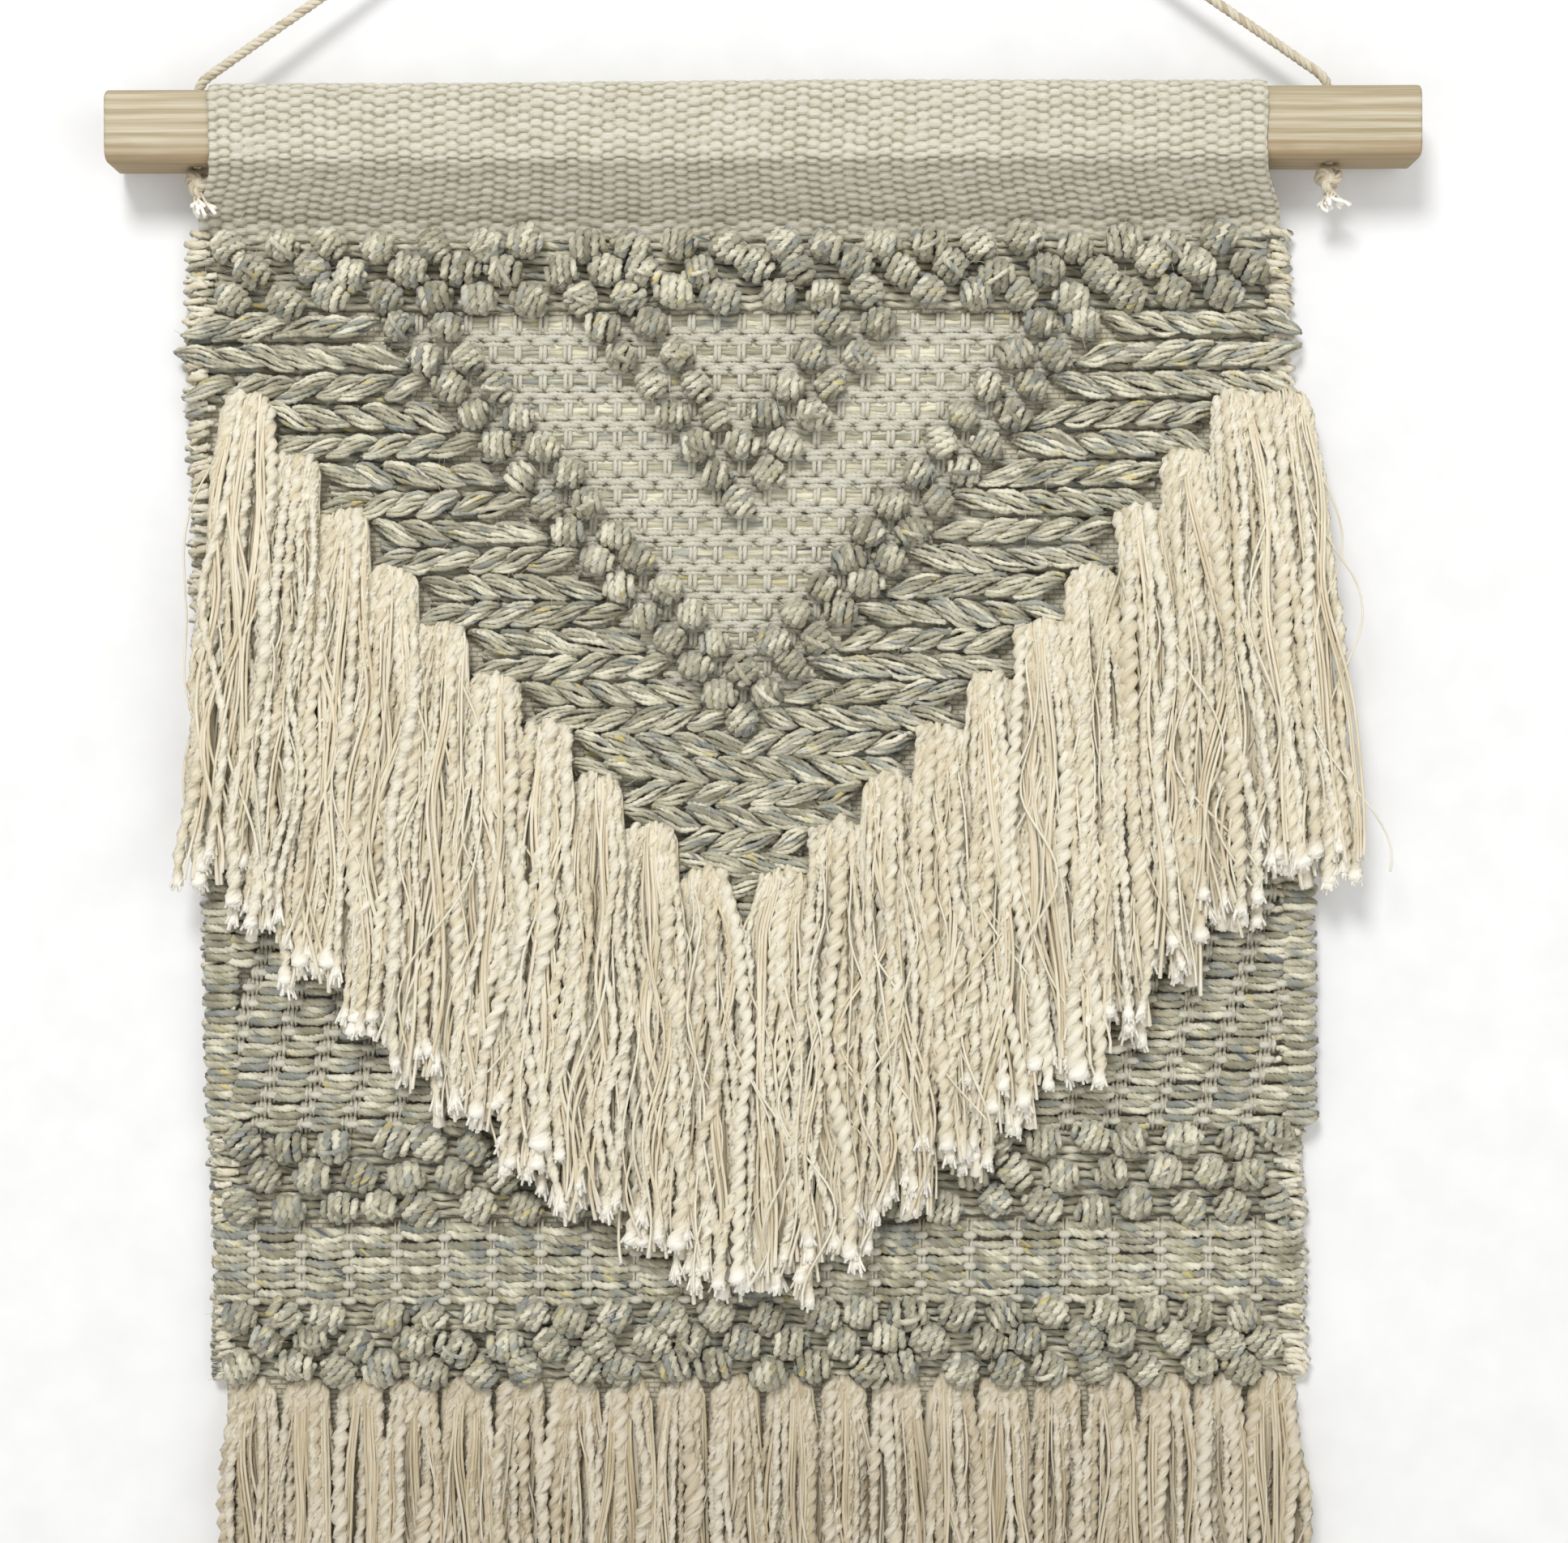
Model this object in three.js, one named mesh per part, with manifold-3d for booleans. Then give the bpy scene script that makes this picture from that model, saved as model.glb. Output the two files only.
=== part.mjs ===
// A woven tapestry wall hanging: a square wooden bar on a cord, a cloth sleeve round the bar,
// and a wool and cotton panel below it with loops, braids, a V of tassels and a bottom fringe.
// Millimetres, +Z up, the front faces -Y. The origin is the underside of the cord's apex,
// where the nail in the wall bears; x = 0 is the middle of the bar.
import * as THREE from "three";
import { mergeVertices } from "three/addons/utils/BufferGeometryUtils.js";
import Module from "manifold-3d";

const wasm = await Module();
wasm.setup();

// ---- Driving dimensions ----
const GAP = 0.4; // left between pieces that touch on the real object
const BAR = { length: 450, side: 25, edge: 4, end: 1.2, top: -139, front: -22 };
const HOLE = { x: 195, y: -9.5, radius: 2.75 };
const CORD_DIAMETER = 3.5;
const KNOT = { radius: 4.8, tail: 9, tailTop: 2.4, tailTip: 3.4 };
const SLEEVE = { left: -189.5, right: 172.5, top: -135.8, front: -25, back: 5.4, seam: -182, cloth: 1.8 };
const CLOTH = { front: 2.6, back: 5.4, top: -184, bottom: -604 };
const BACK = CLOTH.front - GAP; // back face of everything worked on the front of the cloth
const ROW = { first: -218, pitch: 10.68, tightening: 0.0658 }; // rows close up towards the foot
const TIERS = 10;
const TASSEL = { outermost: 171, pitch: 17.6, halfWidth: 8.1, extra: 188.6, fan: 0.000425, length: 160 };
const SHORTENING = 2.5; // how much shorter each tassel is than the one outside it
const BOBBLE = { radius: 4.9, top: 3.2, front: -9.6 };
const BRAID = { left: -198, right: 183, front: -6 };
const LOWER = { left: -189, right: 184.6 };
const MIDDLE_BAND = { top: -497, bottom: -528.4 };
const LOWER_BAND = { top: -557, bottom: -584.4 };
const FRINGE = { top: -585.3, bottom: -735, front: -8.5, nodes: 4, tassels: 5 };

const FINISH = {
  wood: { color: 0xdccbaa, roughness: 0.6 },
  cotton: { color: 0xd8d2bc, roughness: 0.92 },
  wool: { color: 0xa3a290, roughness: 0.95 },
  fringe: { color: 0xddd2b6, roughness: 0.9 },
};

// ---- Shared helpers ----
const group = new THREE.Group();

function piece(name, geometry, finish) {
  const mesh = new THREE.Mesh(geometry, new THREE.MeshStandardMaterial({ metalness: 0, ...FINISH[finish] }));
  mesh.name = name;
  group.add(mesh);
}

function solid(geometry) {
  const bare = geometry.clone();
  bare.deleteAttribute("normal");
  bare.deleteAttribute("uv");
  const merged = mergeVertices(bare, 1e-3);
  return new wasm.Manifold(
    new wasm.Mesh({
      numProp: 3,
      vertProperties: merged.attributes.position.array,
      triVerts: new Uint32Array(merged.index.array),
    }),
  );
}

function geometryOf(made) {
  const mesh = made.getMesh();
  const geometry = new THREE.BufferGeometry();
  geometry.setAttribute("position", new THREE.BufferAttribute(mesh.vertProperties, 3));
  geometry.setIndex(new THREE.BufferAttribute(mesh.triVerts, 1));
  return geometry;
}

const joined = (geometries) => geometryOf(geometries.map(solid).reduce((a, b) => a.add(b)));

function outline(points) {
  return new THREE.Shape(points.map(([a, b]) => new THREE.Vector2(a, b)));
}

// A polygon drawn in x and z, as thick as the span from front to back.
function slab(points, front, back = BACK) {
  const made = new THREE.ExtrudeGeometry(outline(points), { depth: back - front, bevelEnabled: false });
  return made.rotateX(Math.PI / 2).translate(0, back, 0);
}

// A profile drawn in y and z, run along x.
function run(shape, left, right, options = {}) {
  const made = new THREE.ExtrudeGeometry(shape, {
    depth: right - left,
    bevelEnabled: false,
    curveSegments: 4,
    ...options,
  });
  return made.applyMatrix4(new THREE.Matrix4().set(0, 0, 1, left, 1, 0, 0, 0, 0, 1, 0, 0, 0, 0, 0, 1));
}

const rowZ = (k) => ROW.first - ROW.pitch * k + ROW.tightening * k * k;

// The panel leans a little to the right below the tassels.
function middleX(z) {
  return -8 + 5.5 * THREE.MathUtils.clamp((-420 - z) / 140, 0, 1);
}

// ---- Bar, cord and knots ----
function woodenBar() {
  const { side, edge, end } = BAR;
  const low = BAR.top - side;
  const back = BAR.front + side;
  const shape = new THREE.Shape();
  shape.absarc(back - edge, BAR.top - edge, edge, 0, Math.PI / 2);
  shape.absarc(BAR.front + edge, BAR.top - edge, edge, Math.PI / 2, Math.PI);
  shape.absarc(BAR.front + edge, low + edge, edge, Math.PI, 1.5 * Math.PI);
  shape.absarc(back - edge, low + edge, edge, 1.5 * Math.PI, 2 * Math.PI);
  shape.closePath();
  const half = BAR.length / 2 - end;
  const eased = { bevelEnabled: true, bevelThickness: end, bevelSize: end, bevelOffset: -end, bevelSegments: 1 };
  let bar = solid(run(shape, -half, half, eased));
  for (const x of [-HOLE.x, HOLE.x]) {
    const drill = new THREE.CylinderGeometry(HOLE.radius, HOLE.radius, 2 * side, 16);
    bar = bar.subtract(solid(drill.rotateX(Math.PI / 2).translate(x, HOLE.y, low + side / 2)));
  }
  return geometryOf(bar);
}

// Up through the left hole, over the nail at the origin, and down through the right hole.
const CORD_ROUTE = [
  [-195, -9.5, -164], [-195, -9.5, -157], [-195, -9.5, -150], [-195, -9.5, -144], [-195, -9.5, -139],
  [-194.6, -9.5, -136.5], [-193.5, -9.5, -134.3], [-191.6, -9.4, -132.5], [-180, -8.9, -124.2],
  [-160, -7.9, -110], [-130, -6.4, -88.7], [-100, -4.8, -67.4], [-70, -3.3, -46.1], [-40, -1.8, -24.8],
  [-20, -0.8, -10.6], [-10, -0.3, -3.5], [-4.6, 0, 0.3], [-2.4, 0, 1.4],
  [0, 0, 1.75],
  [2.4, 0, 1.4], [4.6, 0, 0.3], [10, -0.3, -3.5], [20, -0.8, -10.6],
  [40, -1.8, -24.8], [70, -3.3, -46.1], [100, -4.8, -67.4], [130, -6.4, -88.7], [160, -7.9, -110],
  [180, -8.9, -124.2], [191.6, -9.4, -132.5], [193.5, -9.5, -134.3], [194.6, -9.5, -136.5],
  [195, -9.5, -139], [195, -9.5, -144], [195, -9.5, -150], [195, -9.5, -157], [195, -9.5, -164],
];

function hangingCord() {
  const path = new THREE.CatmullRomCurve3(CORD_ROUTE.map((p) => new THREE.Vector3(...p)));
  const section = new THREE.Shape().absarc(0, 0, CORD_DIAMETER / 2, 0, 2 * Math.PI);
  return new THREE.ExtrudeGeometry(section, { steps: 78, extrudePath: path, curveSegments: 4 });
}

// A stopper knot tight under the bar, with a short frayed tail.
function stopperKnot(x) {
  const top = BAR.top - BAR.side - GAP;
  const ball = new THREE.SphereGeometry(KNOT.radius, 10, 7).rotateX(Math.PI / 2);
  const tail = new THREE.CylinderGeometry(KNOT.tailTop, KNOT.tailTip, KNOT.tail, 8).rotateX(Math.PI / 2);
  return joined([
    ball.translate(x, HOLE.y, top - KNOT.radius),
    tail.translate(x, HOLE.y, top - 1.6 * KNOT.radius - KNOT.tail / 2),
  ]);
}

// ---- Sleeve ----
// The cloth lies flat behind the bar, goes over it, and slopes back from under it to the seam.
function sleeveOutline(inset) {
  const { top, front, back, seam } = SLEEVE;
  const round = 6 - inset;
  const low = BAR.top - BAR.side;
  const shape = new THREE.Path();
  shape.moveTo(back - inset, seam + 3 * inset);
  shape.lineTo(back - inset, top - inset - round);
  shape.absarc(back - inset - round, top - inset - round, round, 0, Math.PI / 2);
  shape.absarc(front + inset + round, top - inset - round, round, Math.PI / 2, Math.PI);
  shape.lineTo(front + inset, low + inset / 3);
  shape.lineTo(back - 6 + inset, seam + 3 * inset);
  shape.closePath();
  return shape;
}

function rodPocket() {
  const shape = new THREE.Shape(sleeveOutline(0).getPoints(4));
  shape.holes.push(new THREE.Path(sleeveOutline(SLEEVE.cloth).getPoints(4)));
  return run(shape, SLEEVE.left, SLEEVE.right);
}

// ---- Cloth and what is worked on it ----
function groundCloth() {
  const corners = [[-197.5, CLOTH.top], [180.5, CLOTH.top], [184.6, CLOTH.bottom], [-189, CLOTH.bottom], [-199, -230]];
  return slab(corners, CLOTH.front, CLOTH.back);
}

// One wound loop of wool, standing forward from the cloth.
function bobble(x, z, front = BOBBLE.front) {
  const root = 1;
  const dome = new THREE.CylinderGeometry(BOBBLE.radius, BOBBLE.top, root - front, 5);
  return dome.translate(x, (root + front) / 2, z);
}

function bobbleBand({ left, right, top, bottom, rows, pitch, front }) {
  const parts = [slab([[left, bottom], [right, bottom], [right, top], [left, top]], -0.6)];
  const middles = (top - bottom - 2 * BOBBLE.radius) / (rows - 1);
  for (let row = 0; row < rows; row++) {
    const z = top - BOBBLE.radius - 0.2 - row * (middles - 0.2);
    const start = left + BOBBLE.radius + (row % 2) * (pitch / 2);
    for (let x = start; x < right - BOBBLE.radius; x += pitch) {
      parts.push(bobble(x, z, front));
    }
  }
  return joined(parts);
}

// A diagonal line of loops on a narrow strip. side is -1 for the left, +1 for the right.
function chevronArm(side, start, step, count) {
  const at = (k) => [middleX(rowZ(k)) + side * (start - step * k), rowZ(k)];
  const halfStrip = 4;
  const first = at(0);
  const last = at(count - 1);
  const strip = [
    [first[0] - halfStrip, first[1]], [last[0] - halfStrip, last[1]],
    [last[0] + halfStrip, last[1]], [first[0] + halfStrip, first[1]],
  ];
  const parts = [slab(strip, 0.4)];
  for (let k = 0; k < count; k++) {
    parts.push(bobble(...at(k)));
  }
  return joined(parts);
}

// The small V has two short arms a side, tied together along their first row.
function smallChevron(side, outerCount, innerCount) {
  const outer = chevronArm(side, 48, 8, outerCount);
  const inner = chevronArm(side, 32, 8, innerCount);
  const [near, far] = [side * 32, side * 48].sort((a, b) => a - b).map((u) => u + middleX(ROW.first));
  const tie = slab([[near, ROW.first - 3], [far, ROW.first - 3], [far, ROW.first + 3], [near, ROW.first + 3]], 0.4);
  return joined([outer, inner, tie]);
}

// Half-width, from the middle, where a row of braid starts outside the big V's loops.
const chevronReach = (k) => 118.5 - 8.46 * k + 10.7;

// Half-width, from the middle, at which a row meets the innermost tassel that has started above it.
function tasselReach(k) {
  const tier = Math.floor((k - 2.5) / 2);
  return TASSEL.outermost - TASSEL.pitch * tier - TASSEL.halfWidth - 1;
}

const halfPitch = (k) => (rowZ(k - 0.5) - rowZ(k + 0.5)) / 2;

// One row of a braid between two x positions. above and below trim it or run it into its partner.
function braidRow(k, left, right, above, below) {
  const z = rowZ(k);
  const shoulder = 2.4;
  const shape = outline([
    [BACK, z - halfPitch(k) - below], [BACK, z + halfPitch(k) + above],
    [BRAID.front + 3, z + halfPitch(k) + above], [BRAID.front, z + shoulder],
    [BRAID.front, z - shoulder], [BRAID.front + 3, z - halfPitch(k) - below],
  ].reverse());
  return run(shape, left, right);
}

// Two slanting rows that lean against each other, from the edge or a tassel to the big V.
function braid(side, k) {
  const rows = [k, k + 1].map((row) => {
    const edge = side < 0 ? BRAID.left : BRAID.right;
    const outer = row < 2.5 ? edge : middleX(rowZ(row)) + side * tasselReach(row);
    const inner = middleX(rowZ(row)) + side * chevronReach(row);
    return [Math.min(outer, inner), Math.max(outer, inner)];
  });
  return joined([
    braidRow(k, ...rows[0], -GAP / 2, 0),
    braidRow(k + 1, ...rows[1], GAP, -GAP / 2),
  ]);
}

// Below the big V the rows run right across between the tassels.
function centreBraid(k) {
  const middle = middleX(rowZ(k));
  const [upper, lower] = [tasselReach(k), tasselReach(k + 1)];
  return joined([
    braidRow(k, middle - upper, middle + upper, -GAP / 2, 0),
    braidRow(k + 1, middle - lower, middle + lower, GAP, -GAP / 2),
  ]);
}

// The first of them parts round the loop at the big V's point.
function pointBraid(k) {
  const middle = middleX(rowZ(k));
  const [upper, lower] = [tasselReach(k), tasselReach(k + 1)];
  const clear = chevronReach(k);
  const parts = [braidRow(k + 1, middle - clear - 1, middle + clear + 1, -1.1, -GAP / 2)];
  for (const side of [-1, 1]) {
    const sorted = (reach) => [middle + side * clear, middle + side * reach].sort((a, b) => a - b);
    parts.push(braidRow(k, ...sorted(upper), -GAP / 2, 0));
    parts.push(braidRow(k + 1, ...sorted(lower), GAP, -GAP / 2));
  }
  return joined(parts);
}

// ---- Tassels ----
// Half-width, middle y and half-depth down a tassel, at fractions of its length.
const TASSEL_RINGS = [
  { at: 0, width: 0.62, y: -5, depth: 3.6 },
  { at: 0.08, width: 0.86, y: -8.6, depth: 4.4 },
  { at: 0.3, width: 1, y: -11.6, depth: 4.7 },
  { at: 0.65, width: 1, y: -13, depth: 4.6 },
  { at: 1, width: 1, y: -13.2, depth: 4.6 },
];

const tasselTop = (tier) => rowZ(2 * tier + 2.5) - GAP;
const tasselLength = (tier) => TASSEL.length - SHORTENING * tier;

// offset is the tassel's distance from the middle at its own top; the fringe fans out as it falls.
function tassel(tier, offset) {
  const rings = TASSEL_RINGS.length - 1;
  const made = new THREE.CylinderGeometry(1, 1, 1, 8, rings);
  const place = made.attributes.position;
  const top = tasselTop(tier);
  for (let i = 0; i < place.count; i++) {
    const ring = TASSEL_RINGS[Math.round((0.5 - place.getY(i)) * rings)];
    const z = top - ring.at * tasselLength(tier);
    const spread = offset * (1 + TASSEL.fan * (tasselTop(0) - z));
    const across = THREE.MathUtils.clamp(1.25 * place.getX(i), -1, 1);
    const x = middleX(top) + spread + across * TASSEL.halfWidth * ring.width;
    place.setXYZ(i, x, ring.y - ring.depth * place.getZ(i), z);
  }
  return made;
}

// ---- Lower panel ----
function woolWeave() {
  const { left, right } = LOWER;
  const top = -403;
  const notch = -421; // clears the point of the braids
  const middle = middleX(notch);
  return slab(
    [
      [left, MIDDLE_BAND.top + GAP], [right, MIDDLE_BAND.top + GAP], [right, top], [middle + 60, top],
      [middle + 22, notch], [middle - 22, notch], [middle - 60, top], [left, top],
    ],
    -0.4,
  );
}

// Thick rows of wool, one rib for each.
function ribbedBand() {
  const ribs = 4;
  const top = MIDDLE_BAND.bottom - GAP;
  const bottom = LOWER_BAND.top + GAP;
  const pitch = (top - bottom) / ribs;
  const points = [[BACK, bottom], [BACK, top]];
  for (let rib = 0; rib < ribs; rib++) {
    const z = top - rib * pitch;
    points.push([0, z], [-1.6, z - 0.3 * pitch], [-1.6, z - 0.7 * pitch]);
  }
  points.push([0, bottom]);
  return run(outline(points.reverse()), LOWER.left, LOWER.right);
}

// Part of the bottom fringe: tassels side by side that share the line they are knotted to.
function bottomFringe(index) {
  const { top, bottom, front, nodes, tassels } = FRINGE;
  const width = (LOWER.right - LOWER.left) / nodes;
  const left = LOWER.left + index * width + GAP / 2;
  const pitch = (width - GAP) / tassels;
  const header = 9;
  const points = [[left, top]];
  for (let i = 0; i < tassels; i++) {
    const start = left + i * pitch;
    points.push([start, top - header - 2], [start + 0.4, bottom], [start + pitch - 0.8, bottom]);
    if (i < tassels - 1) {
      points.push([start + pitch - 0.6, top - header - 2], [start + pitch - 0.3, top - header]);
    }
  }
  points.push([left + width - GAP, top - header], [left + width - GAP, top]);
  const comb = solid(slab(points, front - 1, BACK));
  const side = outline([
    [BACK, top], [-0.2, top], [front + 3, top - 10], [front, top - 26], [front, bottom], [BACK, bottom],
  ]);
  return geometryOf(comb.intersect(solid(run(side, left - 1, left + width + 1))));
}

// ---- Assembly ----
piece("wooden_bar", woodenBar(), "wood");
piece("hanging_cord", hangingCord(), "cotton");
piece("left_knot", stopperKnot(-HOLE.x), "cotton");
piece("right_knot", stopperKnot(HOLE.x), "cotton");
piece("rod_pocket", rodPocket(), "cotton");
piece("ground_cloth", groundCloth(), "cotton");

const topBand = { left: -190, right: 176, top: -185, bottom: -212.2, rows: 3, pitch: 17.2, front: -9.6 };
piece("top_loop_band", bobbleBand(topBand), "wool");
piece("small_chevron_left", smallChevron(-1, 7, 5), "wool");
piece("small_chevron_right", smallChevron(1, 6, 4), "wool");
piece("outer_chevron_left", chevronArm(-1, 118.5, 8.46, 15), "wool");
piece("outer_chevron_right", chevronArm(1, 118.5, 8.46, 14), "wool");
piece("inner_chevron_left", chevronArm(-1, 103, 8.46, 13), "wool");
piece("inner_chevron_right", chevronArm(1, 103, 8.46, 12), "wool");

const SIDE_BRAIDS = 7;
const CENTRE_BRAIDS = 4;
for (let i = 0; i < SIDE_BRAIDS; i++) {
  piece("left_braid_" + (i + 1), braid(-1, 2 * i), "wool");
  piece("right_braid_" + (i + 1), braid(1, 2 * i), "wool");
}
piece("centre_braid_1", pointBraid(2 * SIDE_BRAIDS), "wool");
for (let i = 1; i < CENTRE_BRAIDS; i++) {
  piece("centre_braid_" + (i + 1), centreBraid(2 * (SIDE_BRAIDS + i)), "wool");
}

for (let tier = 0; tier < TIERS; tier++) {
  const offset = TASSEL.outermost - TASSEL.pitch * tier;
  piece("left_tassel_" + (tier + 1), tassel(tier, -offset), "fringe");
  piece("right_tassel_" + (tier + 1), tassel(tier, offset), "fringe");
}
piece("right_edge_tassel", tassel(0, TASSEL.extra), "fringe");

piece("wool_weave", woolWeave(), "wool");
const bandAcross = { ...LOWER, rows: 3, pitch: 17 };
piece("middle_loop_band", bobbleBand({ ...bandAcross, ...MIDDLE_BAND, front: -7.6 }), "wool");
piece("ribbed_band", ribbedBand(), "wool");
piece("lower_loop_band", bobbleBand({ ...bandAcross, ...LOWER_BAND, front: -9 }), "wool");
for (let i = 0; i < FRINGE.nodes; i++) {
  piece("bottom_fringe_" + (i + 1), bottomFringe(i), "fringe");
}

export default group;
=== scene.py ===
"""The looks of a tapestry wall hanging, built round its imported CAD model."""
import math

import bpy
import numpy as np
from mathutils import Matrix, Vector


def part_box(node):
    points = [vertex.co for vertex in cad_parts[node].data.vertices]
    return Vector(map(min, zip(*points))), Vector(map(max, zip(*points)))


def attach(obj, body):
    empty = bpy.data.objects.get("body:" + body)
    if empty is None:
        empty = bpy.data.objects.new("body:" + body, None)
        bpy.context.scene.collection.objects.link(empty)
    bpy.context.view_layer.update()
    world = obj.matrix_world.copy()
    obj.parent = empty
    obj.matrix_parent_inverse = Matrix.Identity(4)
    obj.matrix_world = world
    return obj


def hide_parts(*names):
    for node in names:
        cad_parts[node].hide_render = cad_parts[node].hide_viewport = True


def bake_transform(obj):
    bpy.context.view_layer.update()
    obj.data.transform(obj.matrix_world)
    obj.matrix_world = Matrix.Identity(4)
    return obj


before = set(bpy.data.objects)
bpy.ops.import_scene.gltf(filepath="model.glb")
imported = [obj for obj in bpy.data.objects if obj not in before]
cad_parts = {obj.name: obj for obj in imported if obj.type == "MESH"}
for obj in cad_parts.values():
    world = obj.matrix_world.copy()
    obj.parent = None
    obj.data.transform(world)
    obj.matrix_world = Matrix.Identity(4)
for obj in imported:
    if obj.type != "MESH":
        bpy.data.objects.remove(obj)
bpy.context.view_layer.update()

MM = 0.001  # lengths are in millimetres, as in the CAD source, until a mesh is written
TURN = 2 * math.pi
draw = np.random.default_rng(5)

# ---- Driving dimensions, the same as the CAD source's ----
ROW_FIRST = -218.0
ROW_PITCH = 10.68
ROW_TIGHTENING = 0.0658
TIERS = 10
TASSEL_OUTERMOST = 171.0
TASSEL_PITCH = 17.6
TASSEL_FAN = 0.000425
EDGE_TASSEL = 188.6
CLOTH_BACK = 5.4
WOOL_BACK = 2.2
SIDES = (("left", -1), ("right", 1))


def row_z(k):
    return ROW_FIRST - ROW_PITCH * k + ROW_TIGHTENING * k * k


def middle_x(z):
    """The panel leans a little to the right below the tassels."""
    return -8 + 5.5 * np.clip((-420 - z) / 140, 0, 1)


def box(*nodes):
    """Lowest and highest corner of some CAD nodes, in millimetres."""
    corners = np.array([[tuple(corner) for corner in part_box(node)] for node in nodes]) / MM
    return corners[:, 0].min(0), corners[:, 1].max(0)


def smooth_step(share):
    share = np.clip(share, 0, 1)
    return share * share * (3 - 2 * share)


def each(count, low, high):
    """A number between low and high for each yarn, as a column."""
    return draw.uniform(low, high, (count, 1))


def unit(vectors):
    """The same directions, one long."""
    return vectors / np.linalg.norm(vectors, axis=-1, keepdims=True)


# ---- Camera, lights, wall and floor ----
def placed(name, data):
    """A new object in the scene that holds some data."""
    made = bpy.data.objects.new(name, data)
    bpy.context.scene.collection.objects.link(made)
    return made


def camera():
    made = placed("camera", bpy.data.cameras.new("camera"))
    made.data.lens = 67.35
    made.data.sensor_width = 36
    made.location = (0.0062, -1.022, -0.373)
    made.rotation_euler = (math.radians(90), math.radians(0.24), 0)
    bpy.context.scene.camera = made


def lamp(name, place, target, size, energy):
    made = placed(name, bpy.data.lights.new(name, "AREA"))
    made.data.shape = "DISK"
    made.data.size = size
    made.data.energy = energy
    made.location = place
    aim = made.location - type(made.location)(target)
    made.rotation_euler = aim.to_track_quat("Z", "Y").to_euler()


def flat_plane(name, corners, material):
    mesh = bpy.data.meshes.new(name)
    mesh.from_pydata(corners, [], [range(len(corners))])
    mesh.materials.append(material)
    made = placed(name, mesh)
    return made


# ---- Materials ----
def tint(red, green, blue):
    """An sRGB colour, 0 to 255, as the linear numbers that a shader takes."""
    share = np.array([red, green, blue]) / 255
    return tuple(np.where(share <= 0.04045, share / 12.92, ((share + 0.055) / 1.055) ** 2.4))


class Shader:
    """A material's node tree. Each method adds a node and returns the output to join on."""

    def __init__(self, name, roughness=0.9, sheen=0.0, specular=0.3):
        self.material = bpy.data.materials.new(name)
        self.material.use_nodes = True
        self.tree = self.material.node_tree
        self.surface = self.tree.nodes["Principled BSDF"]
        self.surface.inputs["Roughness"].default_value = roughness
        self.surface.inputs["Sheen Weight"].default_value = sheen
        self.surface.inputs["Specular IOR Level"].default_value = specular

    def put(self, socket, value):
        if isinstance(value, bpy.types.NodeSocket):
            self.tree.links.new(value, socket)
        else:
            socket.default_value = value

    def node(self, kind, inputs, output=0, **settings):
        made = self.tree.nodes.new("ShaderNode" + kind)
        for key, value in settings.items():
            setattr(made, key, value)
        for key, value in inputs.items():
            self.put(made.inputs[key], value)
        return made.outputs[output]

    def attribute(self, name, output="Fac"):
        return self.node("Attribute", {}, output, attribute_name=name)

    def maths(self, operation, a, b):
        return self.node("Math", {0: a, 1: b}, operation=operation)

    def weighed(self, a, weight_a, b, weight_b):
        return self.maths("ADD", self.maths("MULTIPLY", a, weight_a), self.maths("MULTIPLY", b, weight_b))

    def shifted_by_tone(self, value, tone, darker=0.0):
        """A value moved up or down a little by the yarn's tone, and lowered by darker."""
        span = 0.14
        raised = self.maths("ADD", value, self.maths("MULTIPLY", tone, span))
        return self.maths("SUBTRACT", raised, span / 2 + darker)

    def stretch(self, vector, scale, shift=(0, 0, 0)):
        scaled = self.node("VectorMath", {0: vector, 1: scale}, operation="MULTIPLY")
        return self.node("VectorMath", {0: scaled, 1: shift}, operation="ADD")

    def noise(self, vector, detail, scale=1.0):
        return self.node("TexNoise", {"Vector": vector, "Scale": scale, "Detail": detail})

    def grain(self, place, scale, detail, shift=(0, 0, 0)):
        """Noise that is stretched by 1 / scale."""
        return self.noise(self.stretch(place, scale, shift), detail=detail)

    def ramp(self, factor, *stops):
        made = self.tree.nodes.new("ShaderNodeValToRGB")
        self.put(made.inputs[0], factor)
        stripes = made.color_ramp.elements
        stripes[0].position = stops[0][0]
        stripes[0].color = (*stops[0][1], 1)
        stripes[1].position = stops[-1][0]
        stripes[1].color = (*stops[-1][1], 1)
        for position, colour in stops[1:-1]:
            stripes.new(position).color = (*colour, 1)
        return made.outputs[0]

    def mix(self, factor, a, b, blend="MIX"):
        made = self.tree.nodes.new("ShaderNodeMix")
        made.data_type = "RGBA"
        made.blend_type = blend
        self.put(made.inputs[0], factor)
        for socket, value in ((made.inputs[6], a), (made.inputs[7], b)):
            self.put(socket, value if isinstance(value, bpy.types.NodeSocket) else (*value, 1))
        return made.outputs[2]

    def bump(self, height, distance, strength=1.0):
        """distance is in millimetres."""
        inputs = {"Height": height, "Distance": distance * MM, "Strength": strength}
        return self.node("Bump", inputs)

    def yarn(self):
        """The place in the yarn, moved on by another amount in each yarn, and the yarn's tone."""
        place = self.attribute("yarn", "Vector")
        tone = self.attribute("tone")
        apart = self.node("VectorMath", {0: (331, 797, 577), "Scale": tone}, operation="SCALE")
        return self.node("VectorMath", {0: place, 1: apart}, operation="ADD"), tone

    def finish(self, colour, normal=None):
        self.put(self.surface.inputs["Base Color"], colour)
        if normal is not None:
            self.put(self.surface.inputs["Normal"], normal)
        return self.material


BLACK = (0, 0, 0)
WHITE = (1, 1, 1)
FIBRE_BUMP = 0.3


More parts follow.
